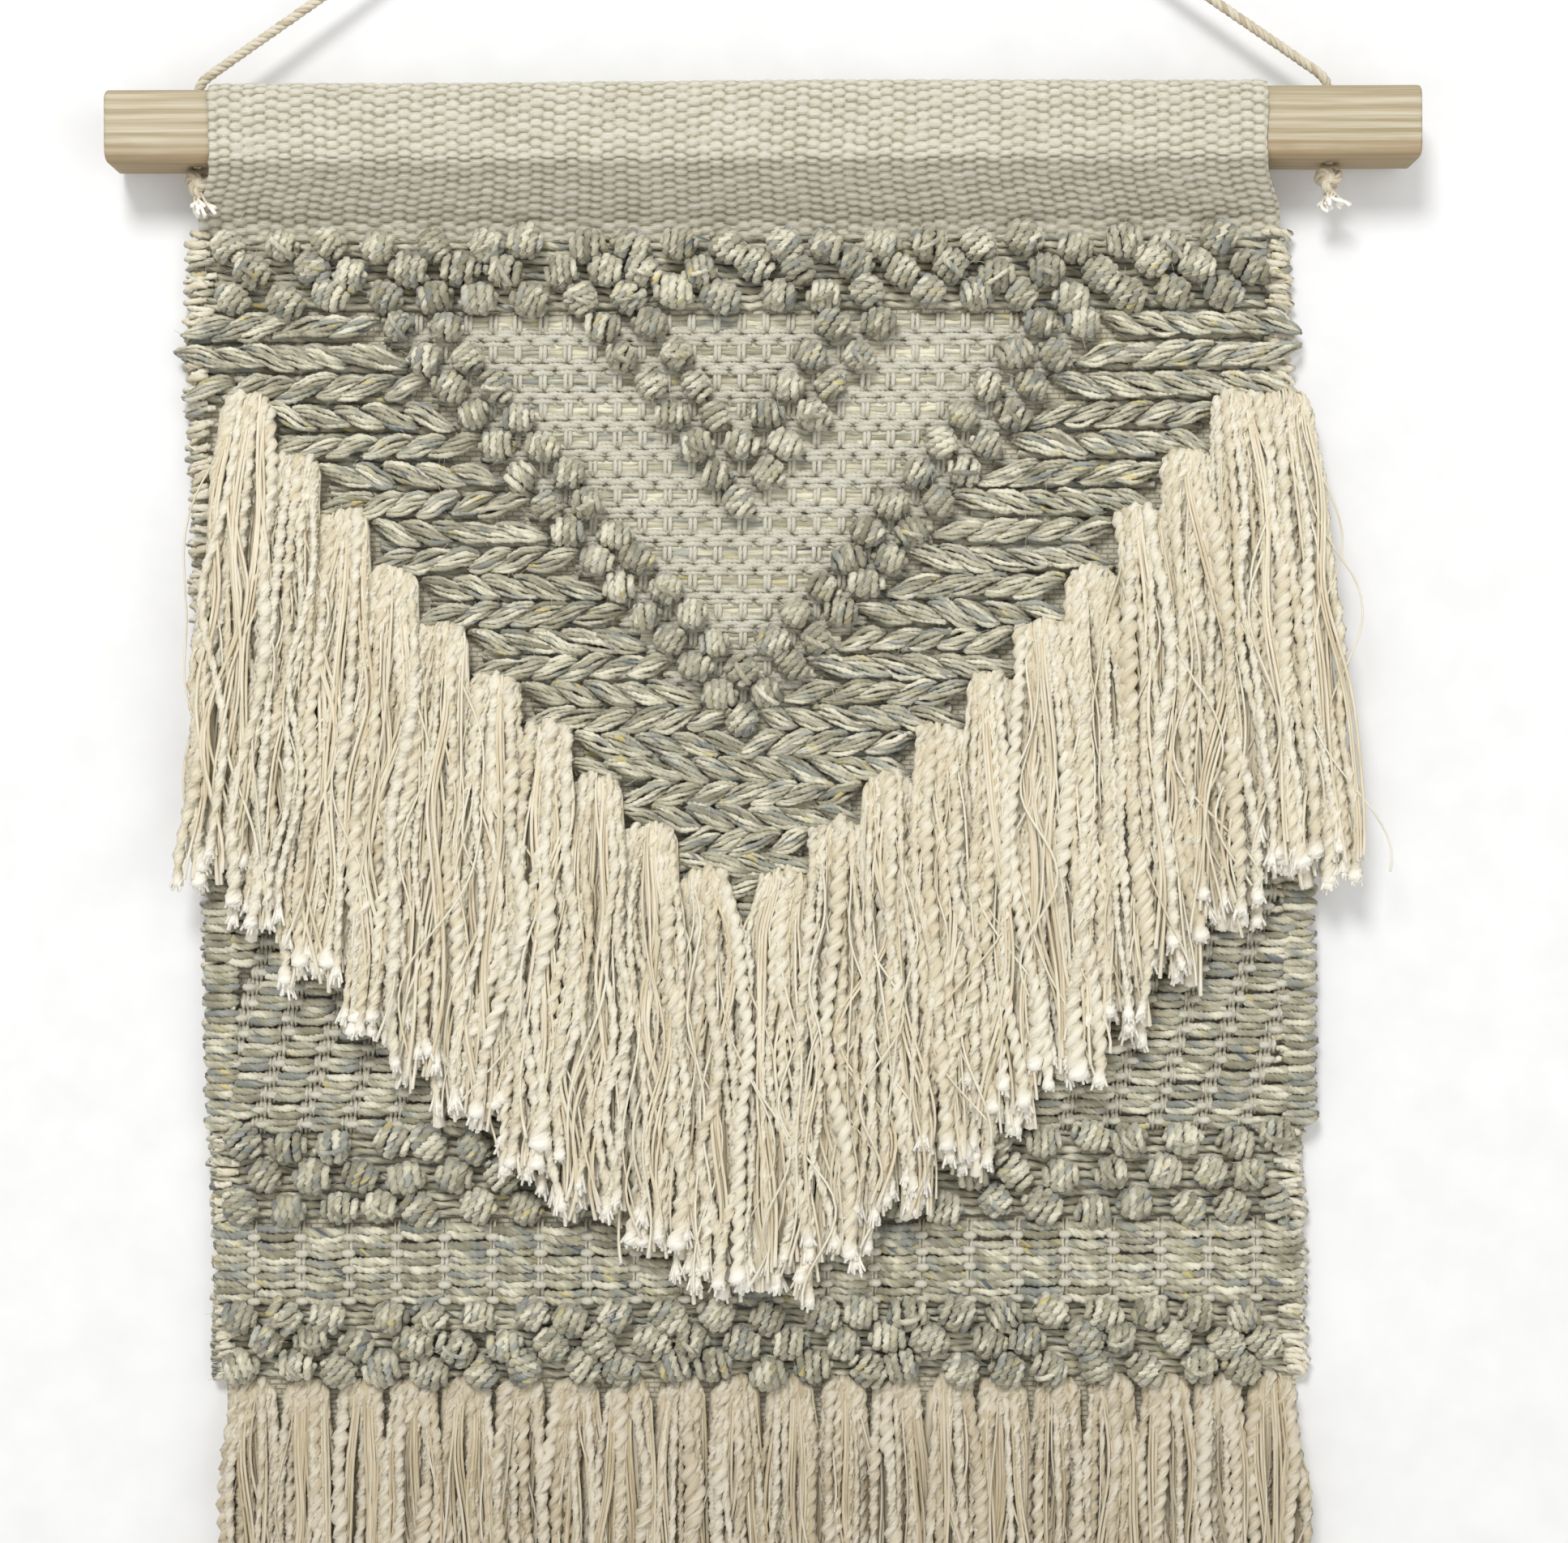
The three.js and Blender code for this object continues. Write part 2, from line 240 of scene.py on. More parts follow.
def wool(name, darker=0.0):
    """Heathered wool: cream and grey locks, with a few blue, dark and mustard ones. darker lowers the
    whole colour, for a darker copy that paints shade.
    """
    shader = Shader(name, roughness=0.95, sheen=0.3, specular=0.1)
    place, tone = shader.yarn()
    fibres = shader.grain(place, (0.12, 1.5, 1.5), 3)
    locks = shader.grain(place, (0.05, 0.16, 0.16), 1, (40, 7, 3))
    shade = shader.shifted_by_tone(shader.weighed(fibres, 0.3, locks, 0.7), tone, darker)
    colour = shader.ramp(
        shade, (0.34, tint(140, 135, 113)), (0.43, tint(170, 165, 143)),
        (0.51, tint(190, 185, 162)), (0.61, tint(222, 217, 195)),
    )
    dyed = (
        ((0.04, 0.16, 0.16), (11, 90, 5), 0.56, 0.66, 0.6, tint(128, 136, 138)),
        ((0.06, 0.3, 0.3), (61, 12, 35), 0.68, 0.74, 0.75, tint(66, 82, 102)),
        ((0.05, 0.3, 0.3), (77, 3, 61), 0.69, 0.74, 0.65, tint(214, 194, 112)),
    )
    for scale, shift, starts, full, strength, dye in dyed:
        lock = shader.grain(place, scale, 1, shift)
        colour = shader.mix(shader.ramp(lock, (starts, BLACK), (full, (strength,) * 3)), colour, dye)
    return shader.finish(colour, shader.bump(fibres, FIBRE_BUMP))


def spun_cotton(name, dark, mild, light):
    """Slub cotton, darker where the fibres part and whiter at the cut ends."""
    shader = Shader(name, roughness=0.9, sheen=0.15, specular=0.15)
    place, tone = shader.yarn()
    cut_end = shader.attribute("mark")
    fibres = shader.grain(place, (0.15, 1.5, 1.5), 2)
    slow = shader.grain(place, (0.03, 0.2, 0.2), 1, (9, 5, 2))
    shade = shader.shifted_by_tone(shader.weighed(fibres, 0.5, slow, 0.5), tone)
    body = shader.ramp(shade, (0.36, tint(*dark)), (0.46, tint(*mild)), (0.58, tint(*light)))
    final = shader.mix(cut_end, body, tint(248, 245, 236))
    return shader.finish(final, shader.bump(fibres, FIBRE_BUMP))


def woven_cotton():
    """Unbleached cotton cloth: mark is how high a point lies on its thread, and the colour is painted
    darker where it lies low, as painted shade in the gaps between threads.
    """
    shader = Shader("woven_cotton", roughness=0.93, sheen=0.1, specular=0.1)
    place, _ = shader.yarn()
    crown = shader.attribute("mark")
    fibres = shader.grain(place, (0.5, 2.6, 2.6), 2)
    slow = shader.grain(place, (0.05, 0.2, 0.2), 1, (3, 8, 1))
    # Painted shade: low marks, between the crowns, get the darker colours.
    deep = shader.ramp(
        crown, (0.0, tint(156, 149, 128)), (0.4, tint(190, 186, 169)), (0.85, tint(210, 207, 194)),
    )
    shade = shader.ramp(fibres, (0.3, tint(226, 221, 206)), (0.6, WHITE))
    gap_shaded = shader.mix(0.6, deep, shade, "MULTIPLY")
    patch = shader.ramp(slow, (0.38, tint(232, 228, 217)), (0.62, WHITE))
    final = shader.mix(0.3, gap_shaded, patch, "MULTIPLY")
    return shader.finish(final, shader.bump(fibres, FIBRE_BUMP))


def cloth_back():
    """The flat faces of the ground cloth: a plain weave in colour and bump."""
    shader = Shader("cloth_back", roughness=0.95, sheen=0.1, specular=0.1)
    place = shader.node("TexCoord", {}, "Object")
    turned = {"Vector": place, "Angle": math.radians(90)}
    upright = shader.node("VectorRotate", turned, rotation_type="X_AXIS")
    # Painted shade: the darker mortar colour is the shade in the lines between the threads.
    bricks = {
        "Vector": upright, "Scale": 1.0, "Mortar Size": 0.5 * MM, "Mortar Smooth": 1.0, "Bias": 0.0,
        "Brick Width": 4.2 * MM, "Row Height": 1.75 * MM, "Color1": (*tint(218, 213, 196), 1),
        "Color2": (*tint(208, 202, 183), 1), "Mortar": (*tint(166, 158, 134), 1),
    }
    grid = shader.node("TexBrick", bricks)
    fibres = shader.noise(place, detail=3, scale=900.0)
    mottled = shader.ramp(fibres, (0.3, tint(216, 212, 200)), (0.65, WHITE))
    return shader.finish(shader.mix(0.5, grid, mottled, "MULTIPLY"), shader.bump(grid, 0.7))


def pine():
    """Planed pine: rings round a line far below the bar, so the faces show long grain. The bottom 10 mm
    turn browner: painted shade along the rounded lower edge.
    """
    shader = Shader("pine", roughness=0.6, specular=0.3)
    low = box("wooden_bar")[0]
    place = shader.node("TexCoord", {}, "Object")
    pith = (0, 0.046, 0.118)
    moved = shader.node("VectorMath", {0: place, 1: pith}, operation="ADD")
    along = shader.stretch(moved, (0.05, 1, 1))
    inputs = {"Vector": along, "Scale": 96.0, "Distortion": 4.5, "Detail": 3.0, "Detail Scale": 1.3}
    rings = shader.node("TexWave", inputs, "Fac", wave_type="RINGS", rings_direction="X")
    grain = shader.grain(place, (4, 420, 420), 3)
    grained = shader.weighed(rings, 0.45, grain, 0.75)
    body = shader.ramp(
        grained, (0.3, tint(198, 190, 168)), (0.6, tint(188, 178, 154)), (0.85, tint(168, 155, 127)),
    )
    pores = shader.grain(place, (30, 1500, 1500), 2)
    pored = shader.ramp(pores, (0.35, tint(196, 178, 148)), (0.6, WHITE))
    worn = shader.mix(0.4, body, pored, "MULTIPLY")
    # Painted shade: the lowest few millimetres are mixed toward brown, with noise making the shade's top
    # line ragged.
    shade_line_noise = shader.grain(place, (90, 260, 260), 2)
    height = shader.node("SeparateXYZ", {0: place}, "Z")
    ragged = shader.maths("ADD", height, shader.maths("MULTIPLY", shade_line_noise, 0.005))
    edge = shader.maths("DIVIDE", shader.maths("SUBTRACT", ragged, low[2] * MM + 0.004), 0.006)
    final = shader.mix(shader.ramp(edge, (0.0, (0.65,) * 3), (1.0, BLACK)), worn, tint(152, 126, 90))
    return shader.finish(final, shader.bump(grained, 0.12, 0.5))


def plaster(name, colour, glow):
    """The wall and the floor. The wall is open from behind, so that the back can be looked at."""
    shader = Shader(name, roughness=0.95, specular=0.0)
    shader.surface.inputs["Emission Color"].default_value = (1, 1, 1, 1)
    shader.surface.inputs["Emission Strength"].default_value = glow
    grain = shader.noise(shader.node("TexCoord", {}, "Object"), detail=3, scale=60.0)
    shader.finish(shader.mix(0.04, colour, shader.ramp(grain, (0.3, BLACK), (0.7, WHITE))))
    clear = shader.node("BsdfTransparent", {})
    behind = shader.node("NewGeometry", {}, "Backfacing")
    either = shader.node("MixShader", {0: behind, 1: shader.surface.outputs[0], 2: clear})
    shader.put(shader.tree.nodes["Material Output"].inputs["Surface"], either)
    return shader.material


# ---- Yarn meshes ----
def ring_quads(rows, around):
    """The quads between rows of points that each go round a tube or a cloth."""
    i, j = np.meshgrid(np.arange(rows - 1), np.arange(around), indexing="ij")
    here = i * around + j
    after = i * around + (j + 1) % around
    return np.stack([here, after, after + around, here + around], 2).reshape(-1, 4)


class Yarns:
    """Tubes and cloth, gathered in millimetres and written as one mesh in metres.

    Each point carries its place in its own yarn (along it, and across it twice), a tone from 0 to 1
    that a yarn has all along, and a mark: a cut end, or the crown of a woven thread, which the woven
    cotton turns into painted shade where it is low."""

    TIP = 0.4  # how far a tube's end stands out, as a share of its radius

    def __init__(self):
        self.points = []
        self.places = []
        self.tones = []
        self.marks = []
        self.corners = []
        self.sizes = []
        self.finishes = []
        self.total = 0

    def keep(self, points, places, tones, marks, faces, finish):
        for corners in faces:
            self.corners.append((corners + self.total).ravel())
            self.sizes.append(np.full(len(corners), corners.shape[1]))
            self.finishes.append(np.full(len(corners), finish))
        self.points.append(points.reshape(-1, 3))
        self.places.append(places.reshape(-1, 3))
        self.tones.append(tones.ravel())
        self.marks.append(marks.ravel())
        self.total += len(self.points[-1])

    def tubes(self, path, radius, sides=6, lobes=0.0, turn=0.0, mark=0.0, finish=0):
        """One tube for each line of path. lobes swells it into two plies that turn, per mm."""
        path = np.asarray(path, float)
        lines, rings = path.shape[:2]
        if not lines:
            return
        radius = np.broadcast_to(radius, (lines, rings))
        step = np.gradient(path, axis=1)
        along = unit(step)
        gaps = np.linalg.norm(np.diff(path, axis=1), axis=2)
        length = np.concatenate([np.zeros((lines, 1)), np.cumsum(gaps, 1)], 1)
        across = np.empty_like(along)
        held = np.where(np.abs(along[:, :1, 1]) < 0.9, [[0.0, 1.0, 0.0]], [[1.0, 0.0, 0.0]])
        for ring in range(rings):
            held = unit(held - (held * along[:, ring]).sum(1, keepdims=True) * along[:, ring])
            across[:, ring] = held
        other = np.cross(along, across)
        angle = np.arange(sides) * TURN / sides
        turned = angle + (turn * length)[..., None]
        swell = 1 + np.broadcast_to(lobes, (lines, rings))[..., None] * np.cos(2 * angle)
        reach = radius[..., None] * swell
        skin = path[:, :, None] + (reach * np.cos(turned))[..., None] * across[:, :, None]
        skin = skin + (reach * np.sin(turned))[..., None] * other[:, :, None]
        first_tip = path[:, 0] - along[:, 0] * radius[:, :1] * self.TIP
        last_tip = path[:, -1] + along[:, -1] * radius[:, -1:] * self.TIP
        tips = np.stack([first_tip, last_tip], 1)
        points = np.concatenate([skin.reshape(lines, -1, 3), tips], 1)
        round_it = (radius[..., None] * np.cos(angle), radius[..., None] * np.sin(angle))
        place = np.stack(np.broadcast_arrays(length[..., None], *round_it), 3)
        ends = np.zeros((lines, 2, 3))
        ends[:, 1, 0] = length[:, -1]
        places = np.concatenate([place.reshape(lines, -1, 3), ends], 1)
        tones = np.repeat(draw.random(lines), rings * sides + 2)
        marked = np.broadcast_to(mark, (lines, rings))
        marks = np.concatenate([np.repeat(marked, sides, 1), marked[:, [0, -1]]], 1)
        rim = np.arange(sides)
        following = (rim + 1) % sides
        last = (rings - 1) * sides
        pole = rings * sides
        first_cap = np.stack([np.full(sides, pole), following, rim], 1)
        last_cap = np.stack([np.full(sides, pole + 1), last + rim, last + following], 1)
        base = (np.arange(lines) * (pole + 2))[:, None, None]
        faces = [
            (ring_quads(rings, sides)[None] + base).reshape(-1, 4),
            (np.concatenate([first_cap, last_cap])[None] + base).reshape(-1, 3),
        ]
        self.keep(points, places, tones, marks, faces, finish)

    def hairs(self, path, number):
        """Stray fibres that leave some points of a path."""
        path = path.reshape(-1, 3)
        start = path[draw.integers(0, len(path), number)]
        heading = draw.normal(0, 1, (number, 3)) * (1, 0.4, 1) + (0, -1.1, 0)
        heading *= each(number, 2.5, 6.5) / np.linalg.norm(heading, axis=1, keepdims=True)
        bend = draw.normal(0, 1.6, (number, 3)) * (1, 0.4, 1)
        share = np.linspace(0, 1, 5)[None, :, None]
        line = start[:, None] + heading[:, None] * share + bend[:, None] * share ** 2
        self.tubes(line, 0.07, sides=3)

    def cloth(self, grid, places, marks):
        """A closed skin: each row of the grid is a loop round the cloth, and both ends are capped."""
        rows, around = grid.shape[:2]
        tones = np.zeros((rows, around))
        loop = np.arange(around)
        caps = np.stack([loop[::-1], (rows - 1) * around + loop])
        self.keep(grid, places, tones, marks, [ring_quads(rows, around), caps], 0)

    def write(self, name, body, slot, finishes, nodes=(), ride=True):
        mesh = bpy.data.meshes.new(name)
        points = np.concatenate(self.points) * MM
        corners = np.concatenate(self.corners)
        sizes = np.concatenate(self.sizes)
        mesh.vertices.add(len(points))
        mesh.vertices.foreach_set("co", points.astype(np.float32).ravel())
        mesh.loops.add(len(corners))
        mesh.loops.foreach_set("vertex_index", corners.astype(np.int32))
        mesh.polygons.add(len(sizes))
        mesh.polygons.foreach_set("loop_start", (np.cumsum(sizes) - sizes).astype(np.int32))
        mesh.polygons.foreach_set("material_index", np.concatenate(self.finishes).astype(np.int32))
        mesh.update(calc_edges=True)
        mesh.shade_smooth()
        for label, kind, field, values in (
            ("yarn", "FLOAT_VECTOR", "vector", self.places),
            ("tone", "FLOAT", "value", self.tones),
            ("mark", "FLOAT", "value", self.marks),
        ):
            layer = mesh.attributes.new(label, kind, "POINT")
            layer.data.foreach_set(field, np.concatenate(values).astype(np.float32).ravel())
        for finish in finishes:
            mesh.materials.append(finish)
        made = placed(name, mesh)
        if ride:
            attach(made, body)
        if nodes:
            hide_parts(*nodes)
        return made


def wander(lines, rings, size, waves=3, cycles=0.8):
    """Slow sideways drift, one row for each yarn."""
    share = np.linspace(0, 1, rings)
    total = np.zeros((lines, rings))
    for wave in range(1, waves + 1):
        phase = each(lines, 0, TURN)
        total += draw.normal(0, 1, (lines, 1)) / wave * np.sin(TURN * wave * cycles * share + phase)
    return size * total


# ---- Bar, cord and knots ----
CORD_HALF = [
    (-0.195, -0.0095, -0.164), (-0.195, -0.0095, -0.157), (-0.195, -0.0095, -0.150),
    (-0.195, -0.0095, -0.144), (-0.195, -0.0095, -0.139), (-0.1946, -0.0095, -0.1365),
    (-0.1935, -0.0095, -0.1343), (-0.1916, -0.0094, -0.1325), (-0.180, -0.0089, -0.1242),
    (-0.160, -0.0079, -0.110), (-0.130, -0.0064, -0.0887), (-0.100, -0.0048, -0.0674),
    (-0.070, -0.0033, -0.0461), (-0.040, -0.0018, -0.0248), (-0.020, -0.0008, -0.0106),
    (-0.010, -0.0003, -0.0035), (-0.0046, 0, 0.0003), (-0.0024, 0, 0.0014),
]
CORD_ROUTE = [*CORD_HALF, (0, 0, 0.00175), *((-x, y, z) for x, y, z in reversed(CORD_HALF))]


def travel(line):
    """How far along a line each of its points lies."""
    gaps = np.linalg.norm(np.diff(line, axis=0), axis=1)
    return np.concatenate([[0], np.cumsum(gaps)])


def points_at(line, stations):
    """The points that lie at some distances along a broken line."""
    travelled = travel(line)
    return np.stack([np.interp(stations, travelled, column) for column in line.T], 1)


def even_line(points, step, blur):
    """Points a step apart along a broken line, with its corners rounded over blur."""
    fine = 0.1
    points = np.asarray(points, float)
    line = points_at(points, np.arange(0, travel(points)[-1] + fine / 2, fine))
    half = int(2.5 * blur / fine)
    weights = np.exp(-0.5 * (np.arange(-half, half + 1) * fine / blur) ** 2)
    weights /= weights.sum()
    padded = np.concatenate([np.repeat(line[:1], half, 0), line, np.repeat(line[-1:], half, 0)])
    line = np.stack([np.convolve(column, weights, "valid") for column in padded.T], 1)
    length = travel(line)[-1]
    return points_at(line, np.linspace(0, length, max(3, int(length / step) + 1)))


def laid_strands(line, offset, lay):
    """Three strands wound round a line, lay mm to the turn."""
    strands = 3
    along = unit(np.gradient(line, axis=0))
    across = unit(np.cross(along, (0, 1, 0)))
    other = np.cross(along, across)
    travelled = travel(line)
    made = []
    for strand in range(strands):
        angle = TURN * (travelled / lay + strand / strands)[:, None]
        made.append(line + offset * (np.cos(angle) * across + np.sin(angle) * other))
    return np.array(made)


def hanging_cord(cotton):
    yarns = Yarns()
    line = even_line(np.array(CORD_ROUTE) / MM, 0.9, 0.6)
    yarns.tubes(laid_strands(line, 0.86, 7.5), 0.93, sides=7)
    return yarns.write("hanging_cord_strands", "bar", "cotton_cord", [cotton], ["hanging_cord"])


def stopper_knot(node, cotton):
    """An overhand knot: the cord's own loops drawn tight, and its strands frayed below."""
    low, high = box(node)
    centre = (low + high) / 2
    ball = 4.8  # radius
    aside = draw.uniform(1.5, 3.5)
    knot_z = high[2] - ball
    yarns = Yarns()
    angle = np.linspace(0, TURN, 61)
    loops = np.stack([
        np.sin(angle) + 2 * np.sin(2 * angle),
        -1.35 * np.sin(3 * angle),
        np.cos(angle) - 2 * np.cos(2 * angle),
    ], 1) * 1.22 + (centre[0], centre[1], knot_z - 0.3)
    yarns.tubes(laid_strands(loops, 0.8, 8.0), 0.95, sides=7)
    heart = np.zeros((1, 5, 3)) + (centre[0], centre[1], knot_z)
    heart[0, :, 2] += np.linspace(-1.6, 1.6, 5)
    yarns.tubes(heart, 2.9, sides=10)
    count = 18
    rings = 9
    fall = np.linspace(0, 1, rings)
    around = each(count, 0, TURN)
    spread = each(count, 0.8, 4.4) * fall ** 1.6
    drop = each(count, 5.5, 9.0) * fall
    path = np.stack([
        centre[0] + np.cos(around) * (0.9 + spread) + wander(count, rings, 0.9) * fall + aside * fall ** 2,
        centre[1] + np.sin(around) * (0.9 + spread * 0.7) + wander(count, rings, 0.5) * fall,
        knot_z - 2.6 - drop + np.zeros((count, rings)),
    ], 2)
    frayed = 0.5 + 0.2 * smooth_step((fall - 0.55) / 0.45)
    yarns.tubes(path, frayed, mark=smooth_step(fall * 2 - 0.8))
    return yarns.write(node + "_strands", "bar", "cotton_cord", [cotton], [node])


def wooden_bar(wood):
    low, high = box("wooden_bar")
    edge = 4.0
    end = 1.2
    sweep = np.linspace(0, TURN / 4, 8)
    arcs = []
    for quarter, (y, z) in enumerate((
        (high[1] - edge, high[2] - edge), (low[1] + edge, high[2] - edge),
        (low[1] + edge, low[2] + edge), (high[1] - edge, low[2] + edge),
    )):
        angle = sweep + quarter * TURN / 4
        arcs.append(np.stack([y + edge * np.cos(angle), z + edge * np.sin(angle)], 1))
    section = np.concatenate(arcs)
    middle = (low + high)[1:] / 2
    bend = np.linspace(0, TURN / 4, 5)
    inset = end * (1 - np.sin(bend))
    along = end * (1 - np.cos(bend))
    body = np.linspace(low[0] + 3, high[0] - 3, 90)
    stations = np.concatenate([low[0] + along, body, high[0] - along[::-1]])
    insets = np.concatenate([inset, np.zeros(len(body)), inset[::-1]])
    half = (high - low)[1] / 2
    grid = np.zeros((len(stations), len(section), 3))
    grid[:, :, 0] = stations[:, None]
    grid[:, :, 1:] = middle + (section - middle) * (1 - insets / half)[:, None, None]
    worn = wander(1, len(stations), 0.12, waves=9, cycles=4)[0]
    grid[:, :, 2] += np.where(section[:, 1] < middle[1], worn[:, None], 0)
    yarns = Yarns()
    yarns.cloth(grid, grid, np.zeros(grid.shape[:2]))
    made = yarns.write("wooden_bar_pine", "bar", "pine", [wood], ["wooden_bar"])
    drill_holes(made, low, high)
    return made


def drill_holes(bar, low, high):
    """The two holes that the cord goes through, cut by a boolean that is then applied."""
    hole_x = 195.0
    hole_y = -9.5
    radius = 2.75
    ring = np.linspace(0, TURN, 24, endpoint=False)
    for x in (-hole_x, hole_x):
        tool = Yarns()
        grid = np.zeros((2, len(ring), 3))
        grid[:, :, 0] = x + radius * np.cos(ring)
        grid[:, :, 1] = hole_y + radius * np.sin(ring)
        grid[:, :, 2] = [[low[2] - 5], [high[2] + 5]]
        tool.cloth(grid, grid, np.zeros(grid.shape[:2]))
        drill = tool.write("drill", None, None, [], ride=False)
        cut = bar.modifiers.new("hole", "BOOLEAN")
        cut.object = drill
        cut.operation = "DIFFERENCE"
        cut.solver = "EXACT"
        bpy.context.view_layer.update()
        evaluated = bar.evaluated_get(bpy.context.evaluated_depsgraph_get())
        result = bpy.data.meshes.new_from_object(evaluated)
        bar.modifiers.clear()
        bar.data = result
        bpy.data.objects.remove(drill)
    bar.data.shade_smooth()


# ---- Sleeve and ground cloth ----
bead_sizes = draw.random(4099)


def beads(x, travelled):
    """Plain weave seen as threads' crowns: height 0 to 1, and each crown's own number."""
    wide = 4.1
    tall = 3.45
    height = np.zeros(np.broadcast_shapes(x.shape, travelled.shape))
    own = np.zeros(height.shape)
    drift = 0.5 * np.sin(travelled / 19) + 0.3 * np.sin(travelled / 7.3 + x / 60)
    for beside in (-1, 0, 1):
        column = np.floor((x + drift) / wide) + beside
        slip = 0.12 * np.sin(column * 1.7) + 0.25 * np.sin(column * 0.31)
        stepped = travelled / tall + np.mod(column, 2) / 2 + slip
        row = np.floor(stepped)
        number = bead_sizes[np.mod(column * 61 + row * 17, len(bead_sizes)).astype(int)]
        right = ((x + drift) / wide - column - 0.5) * wide / (2.2 + 0.5 * number)
        up = (stepped - row - 0.5) * tall / (1.4 + 0.3 * number)
        crown = np.clip(1 - np.abs(right) ** 2.2 - np.abs(up) ** 2.2, 0, 1) ** 0.5
        own = np.where(crown > height, number, own)
        height = np.maximum(height, crown)
    return height, own


def sleeve(cotton):
    """The cloth over the bar: up the front, over the top and down the back."""
    low, high = box("rod_pocket")
    thick = 1.8
    relief = 0.95
    bend = 6.0
    bar_low = box("wooden_bar")[0][2]
    foot = box("top_loop_band")[1][2] - 3
    front = low[1] + relief
    back = high[1] - 0.3
    top = high[2] - 0.6
    sweep = np.linspace(0, TURN / 4, 9)[1:-1]
    corner_z = top - bend
    over = [(front + bend - bend * math.cos(a), corner_z + bend * math.sin(a)) for a in sweep]
    down = [(back - bend + bend * math.sin(a), corner_z + bend * math.cos(a)) for a in sweep]
    outline = [(0.6, foot), (-0.9, low[2] + 0.6), (front, bar_low), (front, corner_z), *over, *down,
               (back, corner_z), (back, foot)]
    profile = even_line(outline, 0.6, 1.3)
    length = np.linalg.norm(np.diff(profile, axis=0), axis=1).sum()
    travelled = np.linspace(0, 1, len(profile)) * length
    ahead = unit(np.gradient(profile, axis=0))
    out = np.stack([-ahead[:, 1], ahead[:, 0]], 1)
    across = np.arange(low[0] + 0.4, high[0] - 0.2, 0.87)
    height, own = beads(across[None] - low[0], travelled[:, None])
    creases = 0.35 * np.sin(across / 47 + 1.0) * np.sin(travelled / 31)[:, None]
    lift = (height - 1) * relief + 0.3 * (own - 0.5) + creases
    rows = len(profile)
    inner_x = np.linspace(high[0] - 0.5, low[0] + 0.7, 8)
    outer = len(across)
    skin = np.zeros((rows, outer + len(inner_x), 3))
    edge = wander(2, rows, 0.35, waves=14, cycles=2)
    pull = smooth_step((across - low[0]) / 3) * smooth_step((high[0] - across) / 3)
    skin[:, :outer, 0] = across
    skin[:, 0, 0] += edge[0]
    skin[:, outer - 1, 0] += edge[1]
    depth = lift * pull - (1 - pull) * 0.9
    skin[:, :outer, 1:] = profile[:, None] + out[:, None] * depth[:, :, None]
    skin[:, outer:, 0] = inner_x
    skin[:, outer:, 1:] = (profile - out * thick)[:, None]
    centre = (low[0] + high[0]) / 2
    flare = 1 + 0.042 * smooth_step((bar_low - profile[:, 1]) / 18)
    skin[:, :, 0] = centre + (skin[:, :, 0] - centre) * flare[:, None]
    places = np.zeros_like(skin)
    places[:, :, 0] = skin[:, :, 0]
    places[:, :, 1] = travelled[:, None]
    marks = np.zeros(skin.shape[:2])
    # Painted shade: the beads' height becomes mark, so the woven cotton darkens the gaps between beads.
    marks[:, :outer] = height
    yarns = Yarns()
    yarns.cloth(skin, places, marks)
    made = yarns.write(
        "rod_pocket_cloth", "sleeve", "cotton_cloth", [cotton], ["rod_pocket"], ride=False,
    )
    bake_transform(made)
    return made, (float(high[0] - low[0]) * MM, float(travelled[-1]) * MM)


EDGE_Z = [-604, -412, -230, -184]
LEFT_EDGE = [-189, -193.9, -199, -197.5]
RIGHT_EDGE = [184.6, 182.7, 181, 180.5]


def cloth_edge(side, z):
    """x of the ground cloth's left (-1) or right (1) edge."""
    return np.interp(z, EDGE_Z, LEFT_EDGE if side < 0 else RIGHT_EDGE)


def ground_cloth(finish):
    low, high = box("ground_cloth")
    rows = np.linspace(low[2], high[2], 141)
    share = np.linspace(0, 1, 130)
    left = cloth_edge(-1, rows) + 0.3 + wander(1, len(rows), 0.3, waves=20, cycles=2)[0]
    right = cloth_edge(1, rows) - 0.3 + wander(1, len(rows), 0.3, waves=20, cycles=2)[0]
    front_x = left[:, None] + (right - left)[:, None] * share
    loop_x = np.concatenate([front_x, front_x[:, ::-1]], 1)
    skin = np.zeros((*loop_x.shape, 3))
    skin[:, :, 0] = loop_x
    skin[:, :len(share), 1] = low[1]
    skin[:, len(share):, 1] = high[1]
    skin[:, :, 2] = rows[:, None]
    waves = 0.25 * np.sin(front_x / 37) * np.sin(rows / 53)[:, None]
    skin[:, len(share):, 1] += np.minimum(waves[:, ::-1], 0.2)
    yarns = Yarns()
    yarns.cloth(skin, skin, np.full(skin.shape[:2], 0.5))
    made = yarns.write("ground_cloth_weave", "panel", "cotton_cloth", [finish], ["ground_cloth"])
    width = float((right - left).mean())
    return made, (width * MM, float(high[2] - low[2]) * MM)


